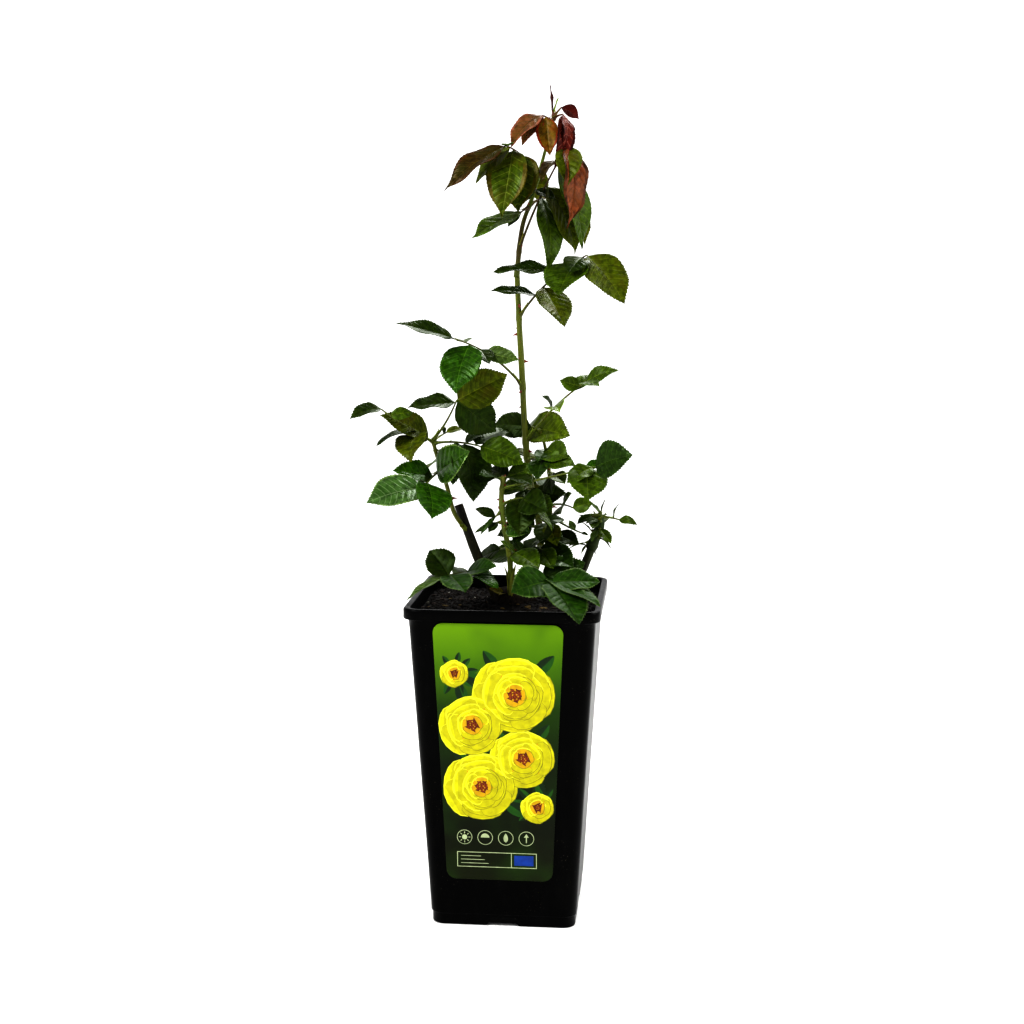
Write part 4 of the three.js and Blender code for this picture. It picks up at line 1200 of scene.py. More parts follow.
@dataclass
class CaneSkin:
    """A cane or shoot as a fine tube with ribs, knots at its leaves and a cut or blunt end."""

    name: str
    limb: Limb
    slot: str
    replaced: tuple[str, ...]
    knots: tuple[float, ...] = ()
    seed: int = 0
    rib_height: float = 0.02
    lump_height: float = 0.03
    knot_height: float = 0.096
    is_cut: bool = False
    root: float = 0
    sides: int = 28
    step: float = 1.1

    def build(self, bark: Material, wood: Material,
              pith: Material) -> None:
        """Makes the piece.

        Args:
            bark: The material of its skin.
            wood: The material of the ring of wood at a cut end.
            pith: The material of the core at a cut end.
        """
        rng = np.random.default_rng(self.seed)
        rough = np.array([self.limb.centre(t) for t in np.linspace(0, 1, 60)])
        reach = float(np.linalg.norm(np.diff(rough, axis=0), axis=1).sum())
        spans = max(8, int(reach / self.step))
        shares = np.linspace(0, 1, spans + 1)
        path = np.array([self.limb.centre(t) for t in shares])
        path[0] -= self.root * unit(path[1] - path[0])
        relief = self._relief(shares * reach, full_turn(self.sides), rng)
        for knot in self.knots:
            away = (shares - knot) * reach
            swelling = 0.16 * np.exp(-(away / 3.0) ** 2)
            scar = self.knot_height * np.exp(-((away + 1.4) / 0.5) ** 2)
            relief += (swelling + scar)[:, None]
        rings = rings_round(path, self.limb.radius(shares)[:, None] * (1 + relief), self.sides)
        ends = ((0.86, 0), (0.8, 1), (0.34, 1), (0.26, 2)) if self.is_cut else ((0.7, 0), (0.3, 0))
        sunk = [path[-1] + (rings[-1] - path[-1]) * share for share, _ in ends]
        looks = [0] * spans * self.sides
        for _, look in ends:
            looks += [look] * self.sides
        points, faces = stacked([*rings, *sunk])
        piece = Patchwork()
        piece.add(points, faces, [bark, wood, pith], [*looks, 0, ends[-1][1]])
        piece.write(self.name, self.slot, self.replaced)

    def _relief(self, along: np.ndarray, angles: np.ndarray,
                rng: np.random.Generator) -> np.ndarray:
        """Works out the ribs and lumps of the skin.

        Args:
            along: The rings' distances from the foot.
            angles: The angles of a ring's points.
            rng: The source of their places.

        Returns:
            The height at each point of each ring, as a share of the radius.
        """
        relief = np.zeros((len(along), len(angles)))
        for waves in (5, 7, 11):
            sway = np.sin(along / rng.uniform(18, 40) + rng.uniform(0, 6))[:, None]
            relief += self.rib_height * np.sin(waves * angles[None, :] + 1.5 * sway
                                               + rng.uniform(0, 6)) * 3 / waves
        for _ in range(14):
            waves, stretch = rng.integers(0, 5), rng.uniform(2.5, 16)
            relief += self.lump_height * 0.35 * np.sin(
                waves * angles[None, :] + along[:, None] / stretch + rng.uniform(0, 6))
        return relief


@dataclass
class Prickles:
    """The red hooked prickles of all the canes, as one piece."""

    length: float = 5.5
    base: float = 2.3
    first: float = 0.1
    turn: float = 137.5
    hook: float = 0.25
    sections: tuple[Pair, ...] = (
        (0, 1), (0.1, 0.8), (0.25, 0.52), (0.45, 0.33), (0.7, 0.18), (0.9, 0.07))
    small_share: float = 0.45

    def build(self, material: Material) -> None:
        """Makes the piece, with small prickles between the large ones.

        Args:
            material: Its material.
        """
        piece = Patchwork()
        for limb in CANES.values():
            for k in range(limb.prickles):
                place = lerp(self.first, 1 - self.first / 2, (k + 0.5) / limb.prickles)
                self._add(piece, limb, place, self.turn * k, 1.0, material)
            for k in range(2 * limb.prickles):
                place = lerp(0.04, 0.97, (k + 0.2) / (2 * limb.prickles))
                size = self.small_share * (1 + 0.4 * math.sin(4.1 * k))
                self._add(piece, limb, place, self.turn * k + 60, size, material)
        piece.write("prickles", "green_bark")

    def _add(self, piece: Patchwork, limb: Limb, place: float, heading: float, size: float,
             material: Material) -> None:
        """Adds one prickle.

        Args:
            piece: The piece that it belongs to.
            limb: The cane that it stands on.
            place: Where on the cane, as a share of the way to its tip.
            heading: The way it points, in degrees.
            size: Its size against a full one.
            material: Its material.
        """
        along = limb.way(place)
        out = outward(heading, along)
        side = np.cross(out, along)
        root = limb.centre(place) + out * 0.6 * limb.radius(place)
        sides = 10
        angles = full_turn(sides)
        rings = []
        for share, width in self.sections:
            centre = root + self.length * (out * share * lerp(0.75, 1, size) * size
                                           - along * self.hook * share ** 2 * size)
            reach = self.base * width * size
            rings.append(centre + np.outer(np.cos(angles) * reach, along)
                         + np.outer(np.sin(angles) * reach * 0.5, side))
        tip = root + self.length * size * (out * lerp(0.75, 1, size) - along * self.hook)
        faces = grid_quads(len(rings), sides, closed=True).tolist()
        last = (len(rings) - 1) * sides
        faces += [[last + k, last + (k + 1) % sides, last + sides] for k in range(sides)]
        faces.append(list(range(sides))[::-1])
        piece.add(np.vstack([*rings, tip]), faces, [material])


@dataclass
class Buds:
    """The small pointed buds that sit above the leaf stalks, as one piece."""

    length: float = 3.6
    radius: float = 1.25
    sections: tuple[Pair, ...] = (
        (0, 0.75), (0.2, 1), (0.45, 0.95), (0.7, 0.62), (0.88, 0.28), (1, 0.05))

    def build(self, material: Material) -> None:
        """Makes the piece.

        Args:
            material: Its material.
        """
        piece = Patchwork()
        sprung = [(CANES[cane], leaf) for cane, leaf in CANE_LEAVES.values()]
        sprung += [(SHOOTS[name], leaf) for name in ("crown", "left_tip")
                   for leaf in MASS_LEAVES[name] if leaf.at < 0.7]
        for limb, leaf in sprung:
            along = limb.way(leaf.at)
            out = outward(leaf.heading, along)
            size = limb.radius(leaf.at) / 2.6
            root = limb.centre(leaf.at) + out * limb.radius(leaf.at) * 0.75 + along * 2.2
            aim = unit(out * 0.55 + along)
            path = np.array([root + aim * self.length * size * share for share, _ in self.sections])
            radii = np.array([self.radius * size * width for _, width in self.sections])
            piece.add(*tube(path, radii, 12), [material])
        piece.write("buds", "green_bark")


@dataclass(frozen=True)
class Scale:
    """One dry scale: its cane, its place along it, its heading, its length and half its span."""

    cane: str
    at: float
    heading: float
    length: float
    span: float = 75


@dataclass
class FootScales:
    """The papery scales that clasp the feet of the green canes, as one piece."""

    scales: tuple[Scale, ...] = (
        Scale("front_cane", 0.02, -35, 27, 80), Scale("front_cane", 0.06, 170, 19, 70),
        Scale("front_cane", 0.26, -100, 14, 70), Scale("main_cane", 0.03, -80, 15),
        Scale("main_cane", 0.1, 60, 13), Scale("right_shoot", 0.04, -60, 14),
        Scale("right_shoot", 0.16, 100, 11), Scale("left_side_cane", 0.05, -90, 9))
    lift: float = 0.3
    flare: float = 3.0
    thickness: float = 0.3
    rows: int = 12
    columns: int = 13

    def build(self, material: Material) -> None:
        """Makes the piece.

        Args:
            material: Its material.
        """
        piece = Patchwork()
        for scale in self.scales:
            limb = CANES[scale.cane]
            ends = limb.centre(scale.at), limb.centre(min(scale.at + 0.05, 1))
            way = unit(ends[1] - ends[0])
            out = outward(scale.heading, way)
            s = np.linspace(0, 1, self.rows)[:, None]
            t = np.linspace(-1, 1, self.columns)[None, :]
            angle = np.radians(scale.span) * t * (1 - s ** 1.6) + 0.02 * t
            sheets = []
            for inset in (0, self.thickness):
                reach = limb.radius(scale.at) + self.lift + self.flare * s ** 3 - inset
                reach = reach + 0.12 * np.cos(14 * t) * (1 - s)
                sheets.append(ends[0] + way * (scale.length * s)[..., None]
                              + (reach * np.cos(angle))[..., None] * out
                              + (reach * np.sin(angle))[..., None] * np.cross(way, out))
            points, *quads = shell(np.array(sheets))
            piece.add(points, np.vstack(quads), [material])
        piece.write("foot_scales", "green_bark")


@dataclass
class GraftKnuckle:
    """The swollen union where the variety was grafted on, just above the compost."""

    centre: Pair = (1, 5)
    radius: float = 17
    height: float = 13
    foot: float = 245.3
    profile: tuple[Pair, ...] = (
        (1.06, -0.1), (1.04, 0.05), (1.03, 0.2), (1.0, 0.36), (0.94, 0.52), (0.86, 0.66),
        (0.74, 0.79), (0.6, 0.89), (0.42, 0.96), (0.24, 1.0), (0.08, 1.02))
    sides: int = 120

    def build(self, bark: Material) -> None:
        """Makes the piece.

        Args:
            bark: Its material.
        """
        rng = np.random.default_rng(31)
        angles = full_turn(self.sides)
        phases = rng.uniform(0, 6.28, 12)
        rings = []
        for wide, tall in self.profile:
            lobes = 1 + 0.08 * np.sin(3 * angles + 0.6)
            for k, phase in enumerate(phases):
                lobes += 0.016 * np.sin((4 + 2 * k) * angles + phase + (5 + 3 * k) * tall)
            reach = self.radius * wide * lobes
            level = self.foot + self.height * tall + 0.5 * np.sin(5 * angles + phases[0]) * wide
            rings.append(np.stack([self.centre[0] + reach * np.cos(angles),
                                   self.centre[1] + reach * np.sin(angles), level], axis=1))
        piece = Patchwork()
        piece.add(*stacked(rings), [bark])
        piece.write("graft_knuckle", "old_bark", ("graft_union",))


# ---- pot, compost and label


def rounded_square(half: float, radius: float, z: float, corner_steps: int = 10,
                   side_steps: int = 10) -> np.ndarray:
    """Lists the points of a square with round corners, anticlockwise from above.

    Args:
        half: Half of its width.
        radius: The radius of its corners.
        z: Its height.
        corner_steps: The number of steps round a corner.
        side_steps: The number of steps along a side.

    Returns:
        Its points, one a row.
    """
    steps = np.linspace(0, 1, corner_steps + 1)
    corners = []
    for turn, across, up in ((0, 1, 1), (1, -1, 1), (2, -1, -1), (3, 1, -1)):
        angles = math.pi / 2 * (turn + steps)
        centre = (half - radius) * np.array([across, up])
        corners.append(centre + radius * np.stack([np.cos(angles), np.sin(angles)], axis=1))
    points = []
    for corner, following in zip(corners, corners[1:] + corners[:1]):
        points += [*corner]
        points += [lerp(corner[-1], following[0], step / side_steps)
                   for step in range(1, side_steps)]
    return np.column_stack([points, np.full(len(points), z)])


@dataclass
class NurseryPot:
    """The tall square pot: a tapering wall, a stepped foot with drain notches and a lipped rim."""

    height: float = 255
    rim_half: float = 75
    rim_height: float = 8.5
    rim_wall: float = 4.8
    top_half: float = 71.4
    foot_half: float = 57.2
    foot_inset: float = 0.9
    ridge: float = 9.5
    wall: float = 1.8
    floor: float = 4.5
    bevel: float = 1
    corner: float = 11
    notch: Pair = (13.5, 10.5)
    notch_depth: float = 2.6
    notch_reach: float = 34
    hole_radius: float = 4

    def wall_half(self, z: float) -> float:
        """Returns half the width of the tapering wall at a height."""
        share = (z - self.ridge) / (self.height - self.rim_height - self.ridge)
        return lerp(self.foot_half, self.top_half, share)

    def _profile(self) -> list[tuple[float, float, float]]:
        """Lists the half width, corner radius and height of each ring, from outside to inside."""
        body_top = self.height - self.rim_height
        foot = self.foot_half - self.foot_inset
        b, r = self.bevel, self.corner
        rings = [(foot - b, r - 2 * b, 0), (foot - 0.3 * b, r - 1.3 * b, 0.3 * b),
                 (foot, r - b, b), (foot, r - b, self.ridge - b),
                 (foot + 0.25 * self.foot_inset, r - b, self.ridge - 0.5 * b),
                 (self.foot_half, r - b, self.ridge), (self.foot_half + 0.1, r - b, self.ridge + 0.6)]
        for share in np.linspace(0.05, 0.97, 12):
            z = lerp(self.ridge, body_top, share)
            rings.append((self.wall_half(z), lerp(r - b, r, share), z))
        rings += [(self.top_half, r, body_top - b), (self.top_half + 0.5, r, body_top - 0.35 * b),
                  (self.rim_half - b, r, body_top),
                  (self.rim_half - 0.3 * b, r + b, body_top + 0.3 * b),
                  (self.rim_half, r + b, body_top + b), (self.rim_half, r + b, self.height - 1.4 * b)]
        top, radius = self.height, 1.4 * b
        for angle in np.radians([30, 60, 90]):
            rings.append((self.rim_half - radius * (1 - math.cos(angle)), r + b,
                          top - radius * (1 - math.sin(angle))))
        inside = self.rim_half - self.rim_wall
        rings += [(inside + 1.2, r, top), (inside + 0.4, r - 0.5, top - 0.35),
                  (inside, r - self.wall, top - 1.2), (self.wall_half(body_top) - self.wall,
                                                       r - self.wall, body_top)]
        for z in (200, 120, 60, self.floor):
            rings.append((self.wall_half(z) - self.wall, r - self.wall, z))
        return rings

    def build(self, plastic: Material) -> None:
        """Makes the piece and cuts its drain notches and holes.

        Args:
            plastic: Its material.
        """
        piece = Patchwork()
        piece.add(*stacked([rounded_square(*ring) for ring in self._profile()]), [plastic])
        pot = piece.write("nursery_pot", "pot_plastic", ("pot",))
        cutter = self._drain_cutter(plastic)
        cut = pot.modifiers.new("drains", "BOOLEAN")
        cut.operation = "DIFFERENCE"
        cut.solver = "EXACT"
        cut.object = cutter
        bpy.context.view_layer.update()
        shaped = bpy.data.meshes.new_from_object(
            pot.evaluated_get(bpy.context.evaluated_depsgraph_get()))
        pot.modifiers.clear()
        pot.data = shaped
        bpy.data.objects.remove(cutter)

    def _drain_cutter(self, plastic: Material) -> bpy.types.Object:
        """Makes the space of the four notches, each with its hole through the floor.

        Args:
            plastic: The material of its faces.

        Returns:
            The object that cuts it out.
        """
        space = Patchwork()
        wide, narrow = self.notch
        depth = self.notch_depth
        for turn in range(4):
            angle = turn * math.pi / 2
            spin = np.array([[math.cos(angle), math.sin(angle), 0],
                             [-math.sin(angle), math.cos(angle), 0], [0, 0, 1]])
            section = [(-wide, -1), (wide, -1), (wide, 0), (narrow, depth), (-narrow, depth),
                       (-wide, 0)]
            prism = [np.array([(x, y, z) for y, z in section]) @ spin
                     for x in (self.notch_reach, self.rim_half)]
            space.add(*stacked(prism), [plastic], smooth=False)
            middle = np.array([self.notch_reach + self.hole_radius + 2, 0, 0]) @ spin
            line = np.array([middle + UP * 0.2 * depth, middle + UP * 3 * self.floor])
            space.add(*tube(line, np.full(2, self.hole_radius), 24), [plastic], smooth=False)
        return space.write("drain_space", "pot_plastic")


@dataclass
class CompostBed:
    """The compost: an uneven dark bed with crumbs, bark chips, white lumps and grey grit."""

    top: float = 245
    dip: float = 1.5
    half: float = 69.2
    corner: float = 9
    floor: float = 4.8
    floor_half: float = 54.6
    crumbs: int = 2600
    chips: int = 90
    lumps: int = 9
    grit: int = 60
    fibres: int = 160
    litter: int = 26
    heap: float = 3.2
    loose: Patchwork = field(default_factory=Patchwork)
    rng: np.random.Generator = field(default_factory=lambda: np.random.default_rng(17))

    def level(self, x: np.ndarray, y: np.ndarray) -> np.ndarray:
        """Works out how high the bed's top is.

        Args:
            x: Places to the right of its middle.
            y: The same places' distances behind it.

        Returns:
            The heights there.
        """
        swell = (np.sin(x / 7 + 1.3) * np.cos(y / 9 - 0.4) + 0.6 * np.sin(x / 3.1 - y / 4.3)
                 + 0.4 * np.cos(x / 1.9 + y / 2.3) + 0.25 * np.sin(x * 1.1) * np.cos(y * 1.3))
        edge = np.clip((np.maximum(np.abs(x), np.abs(y)) - self.half + 6) / 6, 0, 1)
        heap = self.heap * np.exp(-((np.hypot(x - 1, y - 5) - 17) / 7) ** 2)
        return self.top - 0.4 + 0.55 * swell - self.dip * edge + heap

    def build(self, bed: Material, bark: Material,
              white: Material, grey: Material,
              straw: Material) -> None:
        """Makes the bed and the things that lie on it.

        Args:
            bed: The material of the bed and its crumbs.
            bark: The material of the chips and fibres.
            white: The material of the white lumps.
            grey: The material of the grit.
            straw: The material of the dry bits of stem and leaf.
        """
        self._build_bed(bed)
        for count, size, flat, material in (
                (self.crumbs, (0.5, 1.7), 0.8, bed), (self.chips, (1.2, 3.2), 0.35, bark),
                (self.lumps, (0.8, 1.6), 0.85, white), (self.grit, (0.35, 0.9), 0.8, grey),
                (self.litter, (1.6, 3.4), 0.25, straw)):
            self._scatter(count, size, flat, material)
        self._add_lump((-52, -40), 3.1, 0.8, white)
        self._add_fibres(bark)
        self.loose.write("compost_crumbs", "compost")

    def _build_bed(self, material: Material) -> None:
        """Makes the bed: its top in rings, its sides and its flat underside.

        Args:
            material: Its material.
        """
        rings = []
        for share in np.linspace(0.02, 1, 56):
            ring = rounded_square(self.half * share, max(self.corner * share, 0.01), 0, 10, 24)
            ring[:, 2] = self.level(ring[:, 0], ring[:, 1])
            rings.append(ring)
        for z, half in ((self.top - 20, self.half - 1.4), (self.floor, self.floor_half)):
            rings.append(rounded_square(half, self.corner, z, 10, 24))
        piece = Patchwork()
        piece.add(*stacked(rings[::-1]), [material])
        piece.write("compost_bed", "compost", ("soil",))

    def _scatter(self, count: int, size: Pair, flat: float,
                 material: Material) -> None:
        """Scatters small lumps over the bed.

        Args:
            count: How many.
            size: Their least and greatest size.
            flat: Their height as a share of their size.
            material: Their material.
        """
        reach = self.half - 2.5
        for _ in range(count):
            place = self.rng.uniform(-reach, reach, 2)
            self._add_lump(tuple(place), self.rng.uniform(*size), flat, material)

    def _add_lump(self, place: Pair, size: float, flat: float,
                  material: Material) -> None:
        """Adds one angular lump that lies on the bed.

        Args:
            place: Where it lies.
            size: Its size.
            flat: Its height as a share of its size.
            material: Its material.
        """
        spin = np.linalg.qr(self.rng.normal(size=(3, 3)))[0]
        spin[:, 0] *= np.linalg.det(spin)
        points = LUMP_CORNERS * self.rng.uniform(0.65, 1.1, (12, 1))
        points = points * self.rng.uniform(0.6, 1.2, 3) @ spin
        points *= np.array([1, 1, flat]) * size
        level = float(self.level(np.array(place[0]), np.array(place[1])))
        points += np.array([*place, level + 0.2 * size])
        self.loose.add(points, LUMP_FACES, [material], smooth=False)

    def _add_fibres(self, material: Material) -> None:
        """Adds thin bent fibres that lie on the bed.

        Args:
            material: Their material.
        """
        rng = self.rng
        reach = self.half - 9
        for _ in range(self.fibres):
            x, y, heading = *rng.uniform(-reach, reach, 2), rng.uniform(0, 2 * math.pi)
            bend, length = rng.uniform(-0.25, 0.25), rng.uniform(3, 8)
            steps = np.linspace(0, length, 6)
            way = heading + bend * steps
            line = np.stack([x + steps * np.cos(way), y + steps * np.sin(way),
                             np.zeros(len(steps))], axis=1)
            line[:, 2] = self.level(line[:, 0], line[:, 1]) + 0.4 + 0.5 * np.sin(steps)
            self.loose.add(*tube(line, np.full(len(steps), rng.uniform(0.12, 0.3)), 5), [material])


def icosahedron() -> Mesh:
    """Works out a regular body of twenty faces.

    Returns:
        Its twelve corners, about one from its centre, and its faces turned outwards.
    """
    golden = (1 + math.sqrt(5)) / 2
    first = np.array([(0, a, b * golden) for a in (-1, 1) for b in (-1, 1)], float)
    corners = np.vstack([np.roll(first, k, axis=1) for k in range(3)])
    faces = []
    for trio in combinations(range(len(corners)), 3):
        a, b, c = corners[list(trio)]
        if max(np.linalg.norm(a - b), np.linalg.norm(b - c), np.linalg.norm(c - a)) < 2.1:
            outward = np.cross(b - a, c - a).dot(a) > 0
            faces.append(list(trio) if outward else list(trio)[::-1])
    return corners / 1.9, faces


LUMP_CORNERS, LUMP_FACES = icosahedron()


@dataclass
class Bloom:
    """A printed flower: rings of petals round a button, in place on the label."""

    across: float
    up: float
    radius: float
    petals: tuple[int, ...] = (7, 7, 6, 6, 6, 6)
    turn: float = 0.0


@dataclass
class PictureLabel:
    """The picture label: a stiff film with a printed picture in very low relief."""

    centre_x: float = -2
    bottom: float = 39
    top: float = 245
    bottom_width: float = 83
    top_width: float = 99
    corner: float = 8
    thickness: float = 0.8
    gap: float = 0.3
    sunk: float = -0.1
    blooms: tuple[Bloom, ...] = (
        Bloom(-33, 167, 11, (6, 5, 5), 5), Bloom(30, 61, 13, (6, 6, 5), 12),
        Bloom(-13, 77, 30, turn=8), Bloom(19, 100, 26, (7, 6, 6, 5, 5), 14),
        Bloom(-20, 126, 26, (7, 6, 6, 5, 5), 20), Bloom(13, 151, 33))
    picture: Patchwork = field(default_factory=Patchwork)

    def __post_init__(self) -> None:
        """Works out the slope of the wall and the length of the film along it."""
        pot = NurseryPot()
        rise = pot.height - pot.rim_height - pot.ridge
        self.tilt = math.atan((pot.top_half - pot.foot_half) / rise)
        self.length = (self.top - self.bottom) / math.cos(self.tilt)
        self.foot_y = -pot.wall_half(self.bottom)

    def at(self, across: float, up: float, lift: float) -> np.ndarray:
        """Returns a place on the label.

        Args:
            across: Its distance to the right of the label's middle line.
            up: Its distance up the label from its lower edge.
            lift: Its height above the film's face.

        Returns:
            The point in the plant's frame.
        """
        out = np.array([0, -math.cos(self.tilt), -math.sin(self.tilt)])
        rise = np.array([0, -math.sin(self.tilt), math.cos(self.tilt)])
        corner = np.array([self.centre_x, self.foot_y, self.bottom])
        reach = self.gap + self.thickness + lift
        return corner + np.array([across, 0, 0]) + rise * up + out * reach

    def _outline(self, inset: float) -> list[Pair]:
        """Lists the film's outline.

        Args:
            inset: How far in from its edge.

        Returns:
            The points anticlockwise, as distances across and up.
        """
        foot, head = self.bottom_width / 2 - inset, self.top_width / 2 - inset
        radius = self.corner - inset
        points = []
        for x, y, first in ((foot, inset, -90), (head, self.length - inset, 0),
                            (-head, self.length - inset, 90), (-foot, inset, 180)):
            centre = (x - math.copysign(radius, x), y + (radius if y < 50 else -radius))
            points += [polar(centre, radius, math.radians(first + 90 * step / 8))
                       for step in range(9)]
        return points

    def build(self, film: Material) -> None:
        """Makes the film and its print.

        Args:
            film: The material of the film.
        """
        piece = Patchwork()
        rings = [np.array([self.at(*point, lift) for point in self._outline(inset)])
                 for inset, lift in ((0.3, -self.thickness), (0, -self.thickness + 0.15),
                                     (0, -0.2), (0.12, -0.05), (0.35, 0))]
        piece.add(*stacked(rings), [film])
        piece.write("picture_label", "label_film", ("label",))
        self._add_sprigs()
        for layer, bloom in enumerate(self.blooms):
            self._add_bloom(bloom, 0.02 + 0.02 * layer)
        self._add_signs()
        self.picture.write("label_print", "label_film")

    def _plate(self, outline: Sequence[Pair], ink: Ink, lift: float = 0.04) -> None:
        """Adds a flat printed shape.

        Args:
            outline: Its corners anticlockwise, as distances across and up.
            ink: Its colour.
            lift: The height of its face above the film.
        """
        rings = [np.array([self.at(*corner, level) for corner in outline])
                 for level in (self.sunk, lift)]
        self.picture.add(*stacked(rings), [ink.material()], smooth=False)

    def _add_leaf(self, root: Pair, heading: float, length: float, breadth: float, lift: float,
                  right: Sequence[Ink], left: Sequence[Ink] | None = None,
                  shape: Pair = (0.8, 0.7)) -> None:
        """Adds a printed leaf or petal, whose two halves meet in a low ridge.

        Args:
            root: Its base, as distances across and up.
            heading: The way it points, in degrees from the right.
            length: Its length.
            breadth: Its greatest width.
            lift: The height of its edge above the film.
            right: The colours of its right half, from its base to its tip.
            left: Those of its left half where they differ.
            shape: How far out it is widest and how round it is there.
        """
        way, side = (np.array(polar((0, 0), 1, math.radians(turn)))
                     for turn in (heading, heading - 90))
        steps = (0.0, 0.12, 0.3, 0.5, 0.7, 0.86, 0.96, 1.0)
        rows, backs = [], []
        for s in steps:
            width = breadth / 2 * max(0.03, math.sin(math.pi * s ** shape[0]) ** shape[1])
            for sign, ridge in ((1, 0), (0, 0.004), (-1, 0)):
                place = root + way * s * length + side * sign * width
                rows.append(self.at(*place, lift + ridge))
                backs.append(self.at(*place, self.sunk + ridge))
        top = grid_quads(len(steps), 3)[:, ::-1]
        count = len(rows)
        ring = [*range(0, count, 3), count - 2, *range(count - 1, 0, -3), 1]
        edge = [[ring[k], ring[k - 1], ring[k - 1] + count, ring[k] + count]
                for k in range(len(ring))]
        looks = [k % 2 * len(right) + k // 2 * len(right) // (len(steps) - 1)
                 for k in range(len(top))]
        self.picture.add(np.array(rows + backs), [*top, *(top[:, ::-1] + count), *edge],
                         [ink.material() for ink in (*right, *(left or right))],
                         looks * 2 + [0] * len(edge), smooth=False)

    def _add_bloom(self, bloom: Bloom, lift: float) -> None:
        """Adds a flower in rings of petals, lit from the upper left and golden at its heart.

        Args:
            bloom: The flower.
            lift: The height of its lowest petals above the film.
        """
        lit = (Ink.BROWN, Ink.GOLD, Ink.DEEP, Ink.YELLOW, Ink.YELLOW)
        dim = (Ink.BROWN, Ink.GOLD, Ink.DEEP, Ink.DEEP, Ink.YELLOW)
        heart = (Ink.BROWN, Ink.BROWN, Ink.GOLD, Ink.GOLD, Ink.DEEP)
        centre = (bloom.across, bloom.up)
        shape = (1.6, 0.46)
        for ring, count in enumerate(bloom.petals):
            outer = bloom.radius * (1 - ring * 0.88 / (len(bloom.petals) + 0.2))
            for k in range(count):
                heading = (bloom.turn + 21 * ring + 360 * (k + 0.5 * (ring % 2)) / count
                           + 9 * math.sin(3 * k + ring))
                angle = math.radians(heading)
                root = polar(centre, 0.08 * outer, angle)
                length = 0.92 * outer * (0.9 + 0.1 * math.sin(5 * k + 2 * ring))
                breadth = (1.2 if ring < 3 else 1.0) * 2 * math.pi * outer / count
                level = lift + 0.06 * ring + 0.016 * (k % 3)
                is_dim = math.cos(angle + math.radians(50)) > 0.1
                self._add_leaf(root, heading, length + (0.5 if is_dim else 0.9),
                               breadth + (0.6 if is_dim else 1.1), level,
                               [Ink.OCHRE if is_dim else Ink.PALE], shape=shape)
                shades = heart if ring > len(bloom.petals) - 2 else dim if is_dim else lit
                self._add_leaf(root, heading, length, breadth, level + 0.008, shades, shape=shape)
        top = lift + 0.06 * len(bloom.petals) + 0.06
        for k in range(70):
            ink = Ink.GOLD if k % 9 == 8 else Ink.RUST if k % 2 else Ink.BROWN
            self._add_disc(polar(centre, bloom.radius * 0.0165 * math.sqrt(k), 2.4 * k),
                           0.023 * bloom.radius, ink, top + 0.0008 * k)

    def _add_sprigs(self) -> None:
        """Adds leaves that show between and beyond the flowers."""
        rng = np.random.default_rng(5)
        count = 9
        for bloom in self.blooms:
            for k in range(count):
                heading = 360 * (k + rng.uniform(-0.2, 0.2)) / count + bloom.turn
                angle = math.radians(heading)
                root = polar((bloom.across, bloom.up), 0.7 * bloom.radius, angle)
                length = bloom.radius * rng.uniform(0.42, 0.62) + 4
                tip = polar(root, length, angle)
                if abs(tip[0]) < 39 + tip[1] / 26 and 46 < tip[1] < 190:
                    self._add_leaf(root, heading, length, length * 0.5, 0.01, [Ink.LEAF],
                                   [Ink.SHADE])

    def _add_signs(self) -> None:
        """Adds the row of care signs and the plain strip under it."""
        sun, moon, drop, arrow = ((across, 35) for across in (-27, -11, 5, 21))
        for sign in (sun, moon, drop, arrow):
            self._add_ring(sign, 6, 0.5, Ink.LINE)
        self._add_disc(sun, 2.1, Ink.LINE)
        for turn in range(0, 360, 45):
            self._add_leaf(polar(sun, 2.8, math.radians(turn)), turn, 1.9, 0.8, 0.02, [Ink.LINE])
        self._plate([polar(moon, 3.4, a) for a in np.linspace(0, math.pi, 12)], Ink.LINE)
        self._add_leaf((drop[0], 31.4), 90, 7.4, 3.6, 0.02, [Ink.LINE])
        self._plate([(19.1, 36), (22.9, 36), (arrow[0], 39)], Ink.LINE, 0.05)
        bars = [(20.6, 31.5, 21.4, 36.5, 0.04), (-33, 10.4, 29, 11, 0.04),
                (-33, 22.4, 29, 23, 0.04)]
        bars += [(left, 10.4, left + 0.6, 23, 0.045) for left in (-33, 9, 28.4)]
        bars += [(-30, low, 5 - low, low + 0.5, 0.035) for low in (13.4, 16.4, 19.4)]
        for *corners, lift in bars:
            self._bar(*corners, Ink.LINE, lift)
        self._bar(11.5, 12.6, 26.5, 20.8, Ink.BLOCK)

    def _bar(self, left: float, low: float, right: float, high: float, ink: Ink,
             lift: float = 0.04) -> None:
        """Adds a printed rectangle, from its left and lower side to its right and upper one."""
        self._plate([(left, low), (right, low), (right, high), (left, high)], ink, lift)

    def _add_disc(self, centre: Pair, radius: float, ink: Ink, lift: float = 0.04) -> None:
        """Adds a printed disc."""
        self._plate([polar(centre, radius, angle) for angle in full_turn(16)], ink, lift)

    def _add_ring(self, centre: Pair, radius: float, width: float, ink: Ink) -> None:
        """Adds a printed ring.

        Args:
            centre: Its middle.
            radius: Its outer radius.
            width: The width of its band.
            ink: Its colour.
        """
        sides = 32
        inner = radius - width
        rings = [[self.at(*polar(centre, reach, angle), lift) for angle in full_turn(sides)]
                 for reach, lift in ((radius, self.sunk), (radius, 0.04), (inner, 0.04),
                                     (inner, self.sunk))]
        faces = grid_quads(4, sides, closed=True).tolist()
        faces += [[3 * sides + k, 3 * sides + (k + 1) % sides, (k + 1) % sides, k]
                  for k in range(sides)]
        self.picture.add(np.vstack(rings), faces, [ink.material()], smooth=False)


# ---- studio


